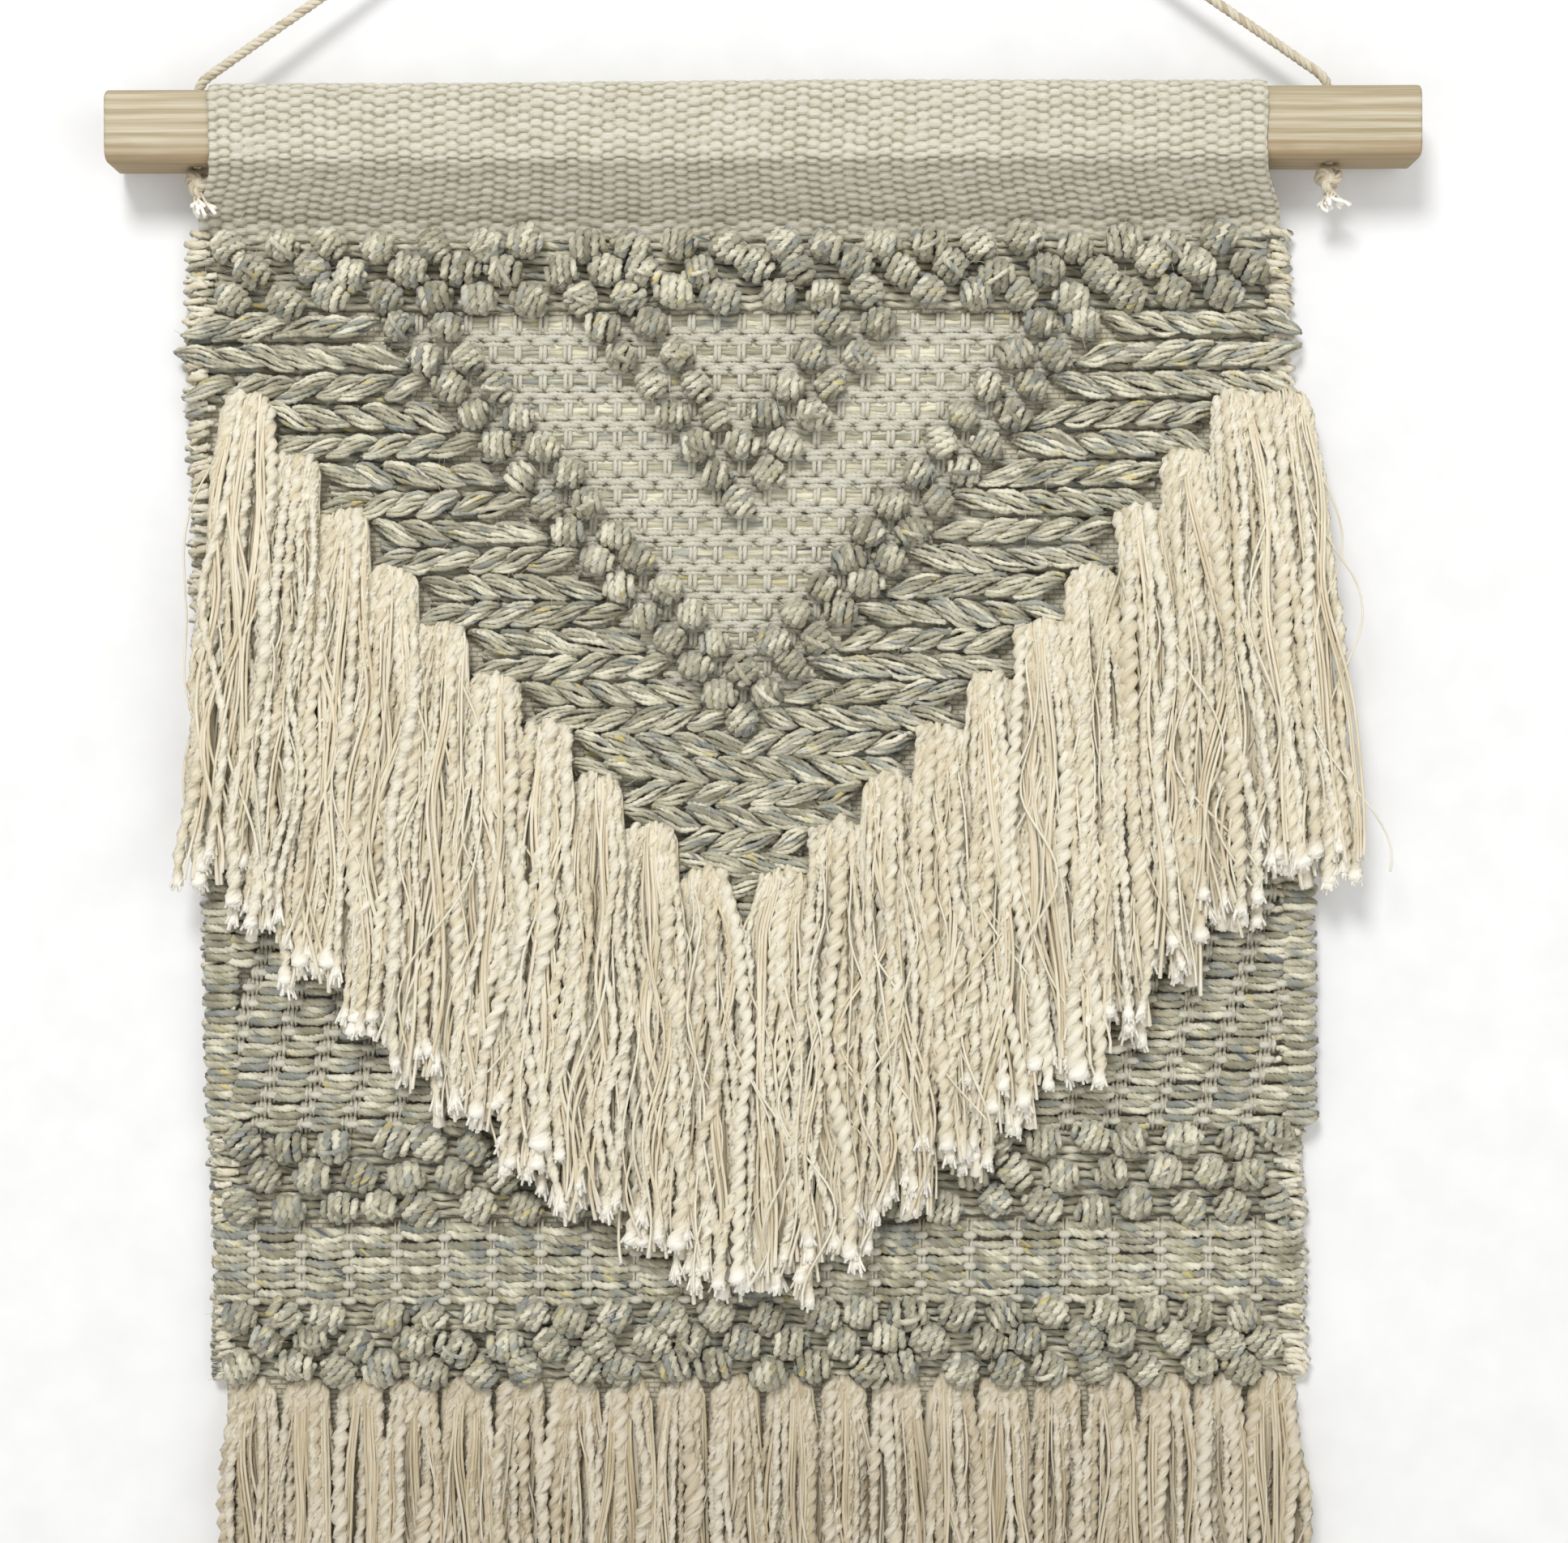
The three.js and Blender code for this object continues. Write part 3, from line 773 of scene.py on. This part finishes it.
def short_threads(
    yarns, centres, half, rise, bulge, radius, rings=7, sides=6, upright=False, finish=0, lobes=0.0,
):
    """Short arched threads: each stands forward by bulge between ends that dip under others."""
    share = np.linspace(-1, 1, rings)
    arch = 1 - share ** 2
    centres = np.asarray(centres, float)
    path = np.repeat(centres[:, None], rings, 1)
    axis = 2 if upright else 0
    path[:, :, axis] += share * half
    path[:, :, 2 - axis] += share * rise
    path[:, :, 1] -= bulge * arch ** 0.7
    girth = np.broadcast_to(radius, (len(centres),))[:, None] * (0.62 + 0.38 * np.sqrt(arch))
    # Painted shade: mark follows the arch, so the woven cotton darkens the ends that dip under other
    # threads.
    mark = 0.25 + 0.75 * arch
    yarns.tubes(path, girth, sides=sides, finish=finish, mark=mark, lobes=lobes, turn=0.5)


def jittered(points, size):
    points = np.asarray(points, float)
    return points + draw.normal(0, 1, points.shape) * size


def chevron_reach(k):
    """Half-width, from the middle, where a braid starts outside the big V's loops."""
    return 118.5 - 8.46 * k + 10.7


def tasselled_reach(k):
    """Half-width, from the middle, at which a row meets the innermost tassel above it."""
    tier = math.floor((k - 2.5) / 2)
    return TASSEL_OUTERMOST - TASSEL_PITCH * tier - 9.1


def ivory_ground(cotton, grey):
    """Inside the V: grey rows behind upright cotton pairs, and two rows of cotton floats."""
    yarns = Yarns()
    pitch = 8.65
    repeat = 10.0
    middle = middle_x(-300)
    steps = np.arange(-14, 15)
    for index in range(15):
        z = -215.0 - repeat * index
        half = chevron_reach((ROW_FIRST - z) / ROW_PITCH) - 13
        if half < 3:
            break
        columns, between = (
            line[np.abs(line - middle) < half]
            for line in (middle + pitch * steps, middle + pitch * (steps + 0.5))
        )
        for drop in (-3.0, -1.2, 0.6):
            line = np.arange(middle - half - 4, middle + half + 4, 2.9)
            depth = 1.3 + 0.4 * np.cos(TURN * (line - middle) / pitch + math.pi)
            path = np.stack([line, depth, np.full(len(line), z - 0.6 + drop)], 1)
            yarns.tubes(jittered(path, 0.14)[None], 1.25, finish=1)
        heights = z - np.array((4.0, 6.6, 9.2))
        filler_rows(yarns, middle - half - 3, middle + half + 3, heights, y=1.5, radius=1.6)
        for side in (-0.78, 0.78):
            ticks = jittered([(x + side, 1.0, z - 1.6) for x in columns], 0.14)
            short_threads(yarns, ticks, 3.4, 0.1, 1.35, 0.92, upright=True)
        for drop in (-0.8, 0.8):
            upper = jittered([(x, 1.2, z - 5.4 + drop) for x in between], 0.15)
            short_threads(yarns, upper, 4.5, 0.0, 0.9, draw.uniform(1.1, 1.3, len(upper)), lobes=0.15)
            lower = jittered([(x, 1.2, z - 7.9 + drop) for x in columns], 0.15)
            short_threads(yarns, lower, 4.2, 0.0, 1.3, draw.uniform(1.15, 1.4, len(lower)), lobes=0.15)
    return yarns.write("ivory_ground_weave", "panel", "cotton_cloth", [cotton, grey])


# ---- Loops and braids ----
def bobbles(yarns, centres, front, size):
    """Loops of wool, each one strand wound round a slanting line, with drawn-in ends."""
    turns = 4.6
    count = len(centres)
    rings = int(turns * 11)
    share = np.linspace(-1, 1, rings)
    lean = np.radians(draw.normal(26, 22, count))
    girth = each(count, 1.3, 1.65) * size
    zero = np.zeros(count)
    axis = np.stack([np.cos(lean), zero, -np.sin(lean)], 1)[:, None]
    rise = np.stack([np.sin(lean), zero, np.cos(lean)], 1)[:, None]
    wide = each(count, 4.2, 5.3) * size
    tall = each(count, 3.5, 4.2) * size
    deep = (WOOL_BACK - front - 2 * girth) / 2
    angle = TURN * turns * (share + 1) / 2 + each(count, 0, TURN)
    uneven = 1 + wander(count, rings, 0.03, waves=4, cycles=2)
    barrel = np.sqrt(1 - 0.94 * np.abs(share) ** 2.3) * uneven
    stray = share * wide + wander(count, rings, 0.3, waves=4, cycles=2)
    winding = tall * barrel * np.cos(angle)
    path = centres[:, None] + axis * stray[..., None] + rise * winding[..., None]
    path[:, :, 1] = (WOOL_BACK + front) / 2 - deep * barrel * np.sin(angle)
    yarns.tubes(path, girth * (0.6 + 0.4 * barrel), sides=7, lobes=0.1, turn=0.8)
    yarns.hairs(path, 10 * count)


def wrap_loops(yarns, centres, front):
    """A loose turn across the front of some loops."""
    count = len(centres)
    rings = 14
    angle = np.linspace(-0.3, math.pi + 0.3, rings)
    tilt = each(count, -1.2, 1.2)
    reach = each(count, 3.4, 5.2)
    path = np.repeat(centres[:, None], rings, 1)
    path[:, :, 0] += reach * np.cos(angle) * np.cos(tilt)
    path[:, :, 2] += reach * np.cos(angle) * np.sin(tilt) - 1.5 * np.sin(angle)
    path[:, :, 1] = -3 + (front + 2.4) * np.sin(angle)
    yarns.tubes(path, each(count, 0.8, 1.1), lobes=0.14, turn=0.9)


def filler_rows(yarns, left, right, heights, y, radius, finish=0):
    """Plain rows that show between the loops and stitches."""
    for z in heights:
        line = np.arange(left, right, 5.0)
        if len(line) < 3:
            continue
        path = np.stack([line, np.full(len(line), y), np.full(len(line), z)], 1)
        path = jittered(path, 0.3)[None]
        yarns.tubes(path, radius, lobes=0.15, turn=0.4, mark=0.5, finish=finish)


def loop_band(node, pitch, grey):
    """Three staggered rows of loops."""
    rows = 3
    low, high = box(node)
    front = low[1] - 0.6
    yarns = Yarns()
    step = (high[2] - low[2] - 9.0) / (rows - 1)
    heights = high[2] - 2 - np.arange(10) * (high[2] - low[2] - 4) / 9
    filler_rows(yarns, low[0] - 5, high[0] + 3, heights, y=1.7, radius=1.5)
    centres = []
    for row in range(rows):
        z = high[2] - 4.6 - row * step
        start = low[0] + 5.5 + (row % 2) * pitch / 2
        centres += [(x, 0, z) for x in np.arange(start, high[0] - 3.5, pitch)]
    centres = jittered(centres, (1.3, 0, 0.9))
    bobbles(yarns, centres, front, size=1.2)
    wrap_loops(yarns, centres[draw.random(len(centres)) < 0.3], front - 0.2)
    return yarns.write(node + "_yarn", "panel", "wool", [grey], [node])


def chevron(node, side, start, step, count, grey, cotton, more=()):
    """Loops in a diagonal line, on a narrow strip of plain cotton. more holds a second line."""
    yarns = Yarns()
    front = box(node)[0][1] - 0.6
    strip = np.array((-3.9, -1.3, 1.3, 3.9))
    centres = []
    for first, number in ((start, count), *more):
        for k in range(number):
            z = row_z(k)
            x = middle_x(z) + side * (first - step * k)
            centres.append((x, 0, z))
            filler_rows(yarns, x - 6, x + 6, z + strip, y=1.5, radius=1.5, finish=1)
    centres = jittered(centres, (0.7, 0, 0.5))
    bobbles(yarns, centres, front, size=1.08)
    wrap_loops(yarns, centres[draw.random(len(centres)) < 0.2], front - 0.4)
    return yarns.write(node + "_yarn", "panel", "wool", [grey, cotton], [node])


def stitches(yarns, left, right, z, lean):
    """A row of slanting bundles. lean is 1 where they rise to the right, and -1 where they fall."""
    bulge = 5.6
    pitch = 10.6
    rings = 13
    strands = 4
    count = max(1, int(round((right - left) / pitch)))
    centres = left + (right - left) * (np.arange(count) + 0.5) / count
    centres = centres + draw.normal(0, 0.9, count)
    share = np.linspace(-1, 1, rings)
    envelope = np.clip(1 - share ** 2, 0, 1) ** 0.6
    reach = np.clip(10.2 + draw.normal(0, 1.1, (count, 1, 1)), 7.5, 12.5)
    rise = 2.7 + draw.normal(0, 0.5, (count, 1, 1))
    rank = (np.arange(strands) - (strands - 1) / 2)[None, :, None]
    twist = draw.uniform(0.5, 1.5, (count, 1, 1)) * lean
    swirl = rank * np.cos(twist * share) * 1.6 * (0.2 + 0.8 * envelope)
    tilt = np.arctan2(rise * lean, reach)
    x = centres[:, None, None] + reach * share - swirl * np.sin(tilt)
    height = z + rise * lean * np.sin(share * math.pi / 2) + swirl * np.cos(tilt)
    girth = draw.uniform(0.85, 1.25, (count, strands, 1))
    rolled = 1.3 * np.sin(twist * 2 * share) * rank
    depth = bulge * envelope - 0.6 * rank ** 2 * envelope + rolled
    stray = wander(count * strands, rings, 0.36).reshape(count, strands, rings)
    path = np.stack(np.broadcast_arrays(x + 0 * stray, 0.6 - depth, height + stray), 3)
    path[..., 1] = np.minimum(path[..., 1], 1.4)
    thick = girth * (0.5 + 0.5 * envelope)
    path = path.reshape(-1, rings, 3)
    yarns.tubes(path, thick.reshape(-1, rings), sides=7, lobes=0.16, turn=0.5)
    yarns.hairs(path, 4 * count)


ACROSS_FROM = 16  # the first row that runs on across the middle


def stitch_lean(side, k):
    """Which way a row slants: above ACROSS_FROM the two sides mirror each other."""
    even = 1 if k % 2 == 0 else -1
    mirrored = -side if k < ACROSS_FROM else -1
    return even * mirrored


def stitched_row(yarns, spans, z, gap):
    """Plain rows over all the spans, then stitches in each. A span is left, right and lean."""
    filler_rows(yarns, spans[0][0] + 1, spans[-1][1] - 1, (z + gap, z, z - gap), y=1.0, radius=1.6)
    for left, right, lean in spans:
        stitches(yarns, left, right, z, lean)


def braid(node, side, k, grey):
    """Two rows of stitches beside the V, out to the cloth's edge or to the tassels."""
    low, high = box(node)
    yarns = Yarns()
    for row in (k, k + 1):
        z = row_z(row)
        middle = middle_x(z)
        outer = low[0] if side < 0 else high[0]
        if row > 2:
            outer = middle + side * tasselled_reach(row)
        left, right = sorted((outer, middle + side * chevron_reach(row)))
        stitched_row(yarns, [(left, right, stitch_lean(side, row))], z, 3.6)
    return yarns.write(node + "_yarn", "panel", "wool", [grey], [node])


def centre_braid(node, k, grey):
    """Two rows of stitches under the V, from tassel to tassel."""
    yarns = Yarns()
    for row in (k, k + 1):
        z = row_z(row)
        middle = middle_x(z)
        reach = tasselled_reach(row)
        gap = 7.0 if row == 14 else 0.5
        spans = [(middle - reach, middle - gap, stitch_lean(-1, row)),
                 (middle + gap, middle + reach, stitch_lean(1, row))]
        if row >= ACROSS_FROM:
            spans = [(middle - reach, middle + reach, stitch_lean(1, row))]
        stitched_row(yarns, spans, z, 3.4)
    return yarns.write(node + "_yarn", "panel", "wool", [grey], [node])


# ---- Tassels and fringe ----
def falling(
    yarns, lines, top, length, middle, head_half, half, head_y, depths, step, girth, drift,
    twisted=False, groups=0, finish=0, layers=(0, 1), turnover=(2.0, 2.2),
):
    """Yarns that come out from under a row, turn over and hang.

    middle gives x for z, depths gives y for a share of the length, and drift is how far they wander.
    groups gathers the yarns in that many sets, and layers runs from the back, 0, to the front, 1.
    turnover is the radius of the turn at the top, at the back and how much more at the front."""
    over = 7  # rings in the turn at the top
    cut_end = 6.5
    rings = int(length / step)
    across = (np.arange(lines) + draw.uniform(0.1, 0.9, lines)) / lines * 2 - 1
    layer = each(lines, *layers)
    apart = wander(lines, rings, drift)
    if groups:
        member = np.arange(lines) % groups
        sets = (np.arange(groups) + draw.uniform(0.1, 0.9, groups)) / groups * 1.8 - 0.9
        across = sets[member] + (np.arange(lines) // groups) * 1.1 / half
        layer = draw.uniform(*layers, groups)[member][:, None]
        apart = wander(groups, rings, drift)[member] + wander(lines, rings, 0.3)
    across = across[:, None]
    arc = np.linspace(0, math.pi, over)[None]
    bend = turnover[0] + turnover[1] * layer
    reach = length * (0.985 + np.clip(draw.normal(0, 0.03, (lines, 1)), -0.07, 0.05))
    share = np.linspace(0, 1, rings + 1)[None, 1:]
    head_z = top - 1.9 + np.clip(draw.normal(0, 1.1, (lines, 1)), -2, 2) - 2.8 * np.abs(across) ** 2.4
    z = np.concatenate([head_z + bend * np.sin(arc), head_z - share * reach], 1)
    start_y = head_y - bend
    settled = depths(share) + (0.5 - layer) * 8.0
    eased = smooth_step(share / 0.16)
    y = np.concatenate([head_y + bend * np.cos(arc), start_y * (1 - eased) + settled * eased], 1)
    open_up = head_half + (half - head_half) * smooth_step(share / 0.2)
    hang_x = across * open_up + apart * np.minimum(1, share * 2.5)
    x = np.concatenate([across * (head_half - 1.5 * np.cos(arc / 2)), hang_x], 1) + middle(z)
    y[:, over:] += wander(lines, rings, 0.45 * drift) * share
    total = z.shape[1]
    near_end = np.zeros((lines, total))
    near_end[:, over:] = (share * length - (length - cut_end)) / cut_end
    flare = smooth_step(near_end)
    path = np.stack([x, y, z], 2)
    if twisted:
        slub = 1 + wander(lines, total, 0.19, waves=6, cycles=2)
        thick = girth * np.clip(slub, 0.6, 1.5) * (1 + 0.35 * flare)
        turn = each(lines, 0.42, 0.62)
        yarns.tubes(path, thick, sides=8, lobes=0.31 * (1 - flare), turn=turn, mark=0.8 * flare)
        frayed_ends(yarns, path)
    else:
        yarns.tubes(path, girth * (1 + 0.3 * flare), sides=5, mark=0.5 * flare, finish=finish)


def frayed_ends(yarns, path):
    """Fibres that fan out of the cut end of each thick yarn."""
    fibres = 9
    start = np.repeat(path[:, -6], fibres, 0)
    end = np.repeat(path[:, -1], fibres, 0)
    angle = draw.uniform(0, TURN, len(start))
    spread = draw.uniform(0.8, 3.4, len(start))
    drop = draw.normal(-1.2, 0.8, len(start))
    aside = np.stack([spread * np.cos(angle), 0.6 * spread * np.sin(angle), drop], 1)
    share = np.linspace(0, 1, 5)[None, :, None]
    line = start[:, None] + (end - start)[:, None] * share + aside[:, None] * share ** 1.5
    yarns.tubes(line, 0.62 - 0.16 * share[..., 0], sides=4, mark=0.2 + 0.7 * share[..., 0])


def hanging_yarns(yarns, counts, half, drift, **place):
    """A tassel's worth of yarn: soft tan yarns at the back, thick ones, thin threads and loose ones.

    counts says how many there are of each. A kind is told by how much narrower it is than the
    tassel at the head and below it, its step, its girths, its drift and what falling takes."""
    kinds = (
        (2.6, 0.6, 6.0, (1.7, 2.2), 0.5, {"finish": 1, "layers": (0, 0.12)}),
        (2.4, 0.0, 1.7, (1.1, 2.25), 1.0, {"twisted": True, "layers": (0.1, 1)}),
        (2.6, 0.6, 4.0, (0.5, 0.7), 1.3, {"groups": 7, "finish": 1, "layers": (0.1, 0.95)}),
        (4.0, 1.0, 4.0, (0.36, 0.5), 2.5, {"layers": (0.6, 1)}),
    )
    for count, (head, narrower, step, girths, spread, settings) in zip(counts, kinds):
        falling(
            yarns, count, head_half=half - head, half=half - narrower, step=step,
            girth=each(count, *girths), drift=spread * drift, **settings, **place,
        )


def tassel_top(tier):
    return row_z(2 * tier + 2.5) - 0.4


def tassel(node, tier, offset, cotton, thread):
    """One tassel of the V. The lowest two close up to the middle."""
    yarns = Yarns()
    top = tassel_top(tier)
    closing = 3.4 * np.sign(offset) if tier == TIERS - 1 else 0
    sway = draw.normal(0, 1.6)

    def middle(z):
        fanned = offset * (1 + TASSEL_FAN * (tassel_top(0) - z))
        drawn_in = closing * smooth_step((top - z) / 20)
        return middle_x(top) + fanned - drawn_in + sway * smooth_step((top - z) / 150)

    def depths(share):
        return np.interp(share, [0, 0.08, 0.3, 0.65, 1], [-5, -8.6, -11.6, -13, -13.2])

    hanging_yarns(
        yarns, (7, 12, 21, 5), half=10.8, drift=2.7,
        top=top, length=160 - 2.5 * tier, middle=middle, head_y=-3.4, depths=depths,
    )
    return yarns.write(node + "_yarn", node, "cotton_fringe", [cotton, thread], [node])


def bottom_fringe(index, cotton, thread):
    node = f"bottom_fringe_{index + 1}"
    low, high = box(node)
    yarns = Yarns()
    tassels = 5
    pitch = (high[0] - low[0]) / tassels

    def depths(share):
        return np.interp(share, [0, 0.17, 1], [-3.6, -4.4, -4.8])

    for i in range(tassels):
        centre = low[0] + (i + 0.5) * pitch

        def middle(z, centre=centre):
            return centre + 0 * z

        hanging_yarns(
            yarns, (6, 9, 21, 2), half=9.7, drift=1.9, top=high[2] + 0.6,
            length=high[2] - low[2] - 4.5, middle=middle, head_y=-0.1, depths=depths,
            turnover=(1.0, 0.9),
        )
    return yarns.write(node + "_yarn", "bottom_fringe", "cotton_fringe", [cotton, thread], [node])


# ---- Lower panel ----
def float_bundle(yarns, centres, half, tall, bulge, sag=0.4):
    """Lens-shaped bundles of wool that lie across between two upright cotton pairs."""
    count = len(centres)
    strands = 2
    rings = 9
    share = np.linspace(-1, 1, rings)
    envelope = np.clip(1 - share ** 2, 0, 1) ** 0.5
    rank = (np.arange(strands) - (strands - 1) / 2)[None, :, None]
    gap = tall / (strands + 0.3)
    drop = draw.normal(sag, 0.35, (count, 1, 1))
    x = centres[:, 0, None, None] + half * share + 0 * rank
    z = centres[:, 2, None, None] + rank * gap * (0.25 + 0.75 * envelope) - drop * envelope
    y = centres[:, 1, None, None] - (bulge - 0.3 * rank ** 2) * envelope
    path = np.stack(np.broadcast_arrays(x, y, z), 3).reshape(-1, rings, 3)
    path = jittered(path, 0.09)
    girth = gap * draw.uniform(0.56, 0.7, (len(path), 1))
    yarns.tubes(path, girth * (0.55 + 0.45 * envelope), sides=7, lobes=0.12, turn=0.5)


def wool_weave(grey, cotton):
    """Basket-like weave: wool floats between cotton pairs, a step further left every row."""
    low, high = box("wool_weave")
    yarns = Yarns()
    pitch = 15.6
    row_step = 5.3
    rows = int((high[2] - low[2]) / row_step)
    floats, uprights, knots = [], [], []
    for row in range(rows + 1):
        z = high[2] - 2 - row * row_step
        drift = -1.6 * row
        floats += [(low[0] - 0.5, 0.6, z + 1.3), (high[0] + 0.5, 0.6, z + 1.3)]
        for x in np.arange(low[0] - 3 * pitch, high[0] + 4 * pitch, pitch) + drift:
            if low[0] + 5 < x < high[0] - 5:
                floats.append((x, 0.6, z))
            for side in (-1.5, 1.5):
                at = x + pitch / 2 + side
                if low[0] + 4 < at < high[0] - 4:
                    uprights += [(at - 0.7, 0.0, z), (at + 0.7, 0.0, z)]
                    if (row + (side > 0)) % 2 == 0:
                        knots.append((at, 0.0, z))
    float_bundle(yarns, jittered(floats, (0.3, 0.1, 0.3)), 6.1, 5.9, 3.3)
    uprights = jittered(uprights, 0.12)
    short_threads(yarns, uprights, 3.1, 0, 1.0, 1.0, rings=3, sides=5, upright=True, finish=1)
    short_threads(yarns, jittered(knots, 0.15), 2.6, 0, 2.1, 1.45, rings=6, finish=1)
    return yarns.write("wool_weave_yarn", "panel", "wool", [grey, cotton], ["wool_weave"])


def ribbed_band(grey, cotton):
    """Rows of thick wool, tied down by a cotton pair every few floats."""
    low, high = box("ribbed_band")
    tall = high[2] - low[2]
    middle_z = (low[2] + high[2]) / 2
    yarns = Yarns()
    pitch = 16.6
    rows = 5
    row_step = tall / rows
    heights = [high[2] - (row + 0.5) * row_step for row in range(rows)]
    floats, lines, knots = [], [], []
    for x in np.arange(low[0] + 10, high[0] - 2, pitch):
        if x + pitch < high[0] + 6:
            floats += [(x + pitch / 2, 1.0, z) for z in heights]
        knots += [(x, -1.0, z - row_step / 2) for z in heights]
        lines += [(x + side, -0.6, middle_z) for side in (-0.75, 0.75)]
    edge = [(low[0] + 3, 0.7, z) for z in heights]
    float_bundle(yarns, jittered(floats, (0.3, 0.1, 0.35)), 8.4, 6.6, 3.2, sag=1.5)
    float_bundle(yarns, jittered(edge, (0.2, 0.1, 0.3)), 7.0, 6.8, 2.6)
    short_threads(yarns, lines, tall / 2, 0, 0.3, 0.85, rings=9, upright=True, finish=1)
    short_threads(yarns, jittered(knots, 0.15), 2.2, 0, 1.1, 1.5, rings=6, sides=7, finish=1)
    return yarns.write("ribbed_band_yarn", "panel", "wool", [grey, cotton], ["ribbed_band"])


def selvedge(side, name, grey, cotton):
    """The turns of wool and cotton that go round the cloth's edge."""
    yarns = Yarns()
    count = 190
    z = np.linspace(-186, -583, count) + draw.normal(0, 0.5, count)
    x = cloth_edge(side, z)[:, None]
    rings = 9
    share = np.linspace(0, 1, rings)[None]
    angle = math.pi * share
    reach = each(count, 1.2, 3.8)
    inward = each(count, 3.5, 7.5) * np.abs(np.cos(angle)) ** 1.5
    path = np.stack([
        x + side * (reach * np.sin(angle) - inward),
        1.8 - 2.5 * np.cos(angle) + wander(count, rings, 0.2),
        z[:, None] + draw.normal(1.2, 1.2, (count, 1)) * np.cos(angle) + wander(count, rings, 0.4),
    ], 2)
    girth = each(count, 1.05, 1.45)
    pale = draw.random(count) < 0.65
    for chosen, finish in ((pale, 1), (~pale, 0)):
        yarns.tubes(path[chosen], girth[chosen], sides=7, lobes=0.12, turn=0.6, finish=finish)
    return yarns.write(name, "panel", "wool", [grey, cotton])


# ---- Scene ----
def hang_up():
    """The bar, its cord and the two knots."""
    cotton = spun_cotton("cord_cotton", (178, 166, 142), (194, 183, 160), (210, 201, 181))
    cord = hanging_cord(cotton)
    knots = [stopper_knot(node, cotton) for node in ("left_knot", "right_knot")]
    wooden_bar(pine())


def build():
    hang_up()
    woven = woven_cotton()
    grey = wool("wool")
    # Painted shade: the wool for the flat weave and the ribbed band is a darker copy of the same wool.
    shaded_woven_grey = wool("shaded_woven_wool", 0.03)
    pale = spun_cotton("tassel_cotton", (208, 196, 168), (217, 208, 185), (227, 221, 203))
    # Painted shade: the bottom fringe's cotton and thread are darker copies of the tassels' cotton and
    # thread, for the shade between its yarns.
    thin = spun_cotton("tassel_thread", (205, 191, 161), (215, 204, 178), (226, 218, 197))
    fringe = spun_cotton("shaded_fringe_cotton", (180, 167, 140), (196, 185, 162), (210, 202, 184))
    shaded_fringe_thin = spun_cotton("shaded_fringe_thread", (172, 157, 126), (189, 176, 148), (202, 192, 169))
    sleeve_cloth, sleeve_size = sleeve(woven)
    ground, ground_size = ground_cloth(cloth_back())
    edges = [selvedge(side, f"{name}_selvedge", grey, pale) for name, side in SIDES]
    ivory_ground(woven, grey)

    loop_band("top_loop_band", 17.2, grey)
    loop_band("middle_loop_band", 16.4, grey)
    loop_band("lower_loop_band", 16.6, grey)
    for (name, side), outer, inner, small in zip(SIDES, (15, 14), (13, 12), ((7, 5), (6, 4))):
        chevron(f"outer_chevron_{name}", side, 118.5, 8.46, outer, grey, woven)
        chevron(f"inner_chevron_{name}", side, 103, 8.46, inner, grey, woven)
        chevron(f"small_chevron_{name}", side, 48, 8, small[0], grey, woven, more=((32, small[1]),))
        for i in range(7):
            braid(f"{name}_braid_{i + 1}", side, 2 * i, grey)
    for i in range(4):
        centre_braid(f"centre_braid_{i + 1}", 14 + 2 * i, grey)
    wool_weave(shaded_woven_grey, woven)
    ribbed_band(shaded_woven_grey, woven)

    for name, side in SIDES:
        for tier in range(TIERS):
            offset = side * (TASSEL_OUTERMOST - TASSEL_PITCH * tier)
            tassel(f"{name}_tassel_{tier + 1}", tier, offset, pale, thin)
    tassel("right_edge_tassel", 0, EDGE_TASSEL, pale, thin)
    for index in range(4):
        bottom_fringe(index, fringe, shaded_fringe_thin)


def surroundings():
    wall_y = (CLOTH_BACK + 1.2) * MM
    floor_z = box("bottom_fringe_1")[0][2] * MM - 0.06
    far = 4.0
    upright = [(-far, wall_y, floor_z), (far, wall_y, floor_z), (far, wall_y, far), (-far, wall_y, far)]
    wall = flat_plane("wall", upright, plaster("wall", (0.8, 0.8, 0.8), 0.0))
    wall.visible_shadow = False
    wall.visible_diffuse = False
    level = [(-far, -far, floor_z), (far, -far, floor_z), (far, far, floor_z), (-far, far, floor_z)]
    flat_plane("floor", level, plaster("floor", (0.8, 0.8, 0.79), 0.05))
    world = bpy.data.worlds.new("studio")
    bpy.context.scene.world = world
    world.use_nodes = True
    sky = world.node_tree.nodes["Background"]
    sky.inputs["Color"].default_value = (1, 1, 1, 1)
    sky.inputs["Strength"].default_value = 0.62
    middle = (0, 0, -0.37)
    lamp("key", (-0.45, -2.1, 1.15), middle, 0.8, 41)
    lamp("fill", (1.6, -2.0, -0.2), middle, 1.6, 9)


bpy.context.scene.view_settings.view_transform = "Standard"
camera()
build()
surroundings()
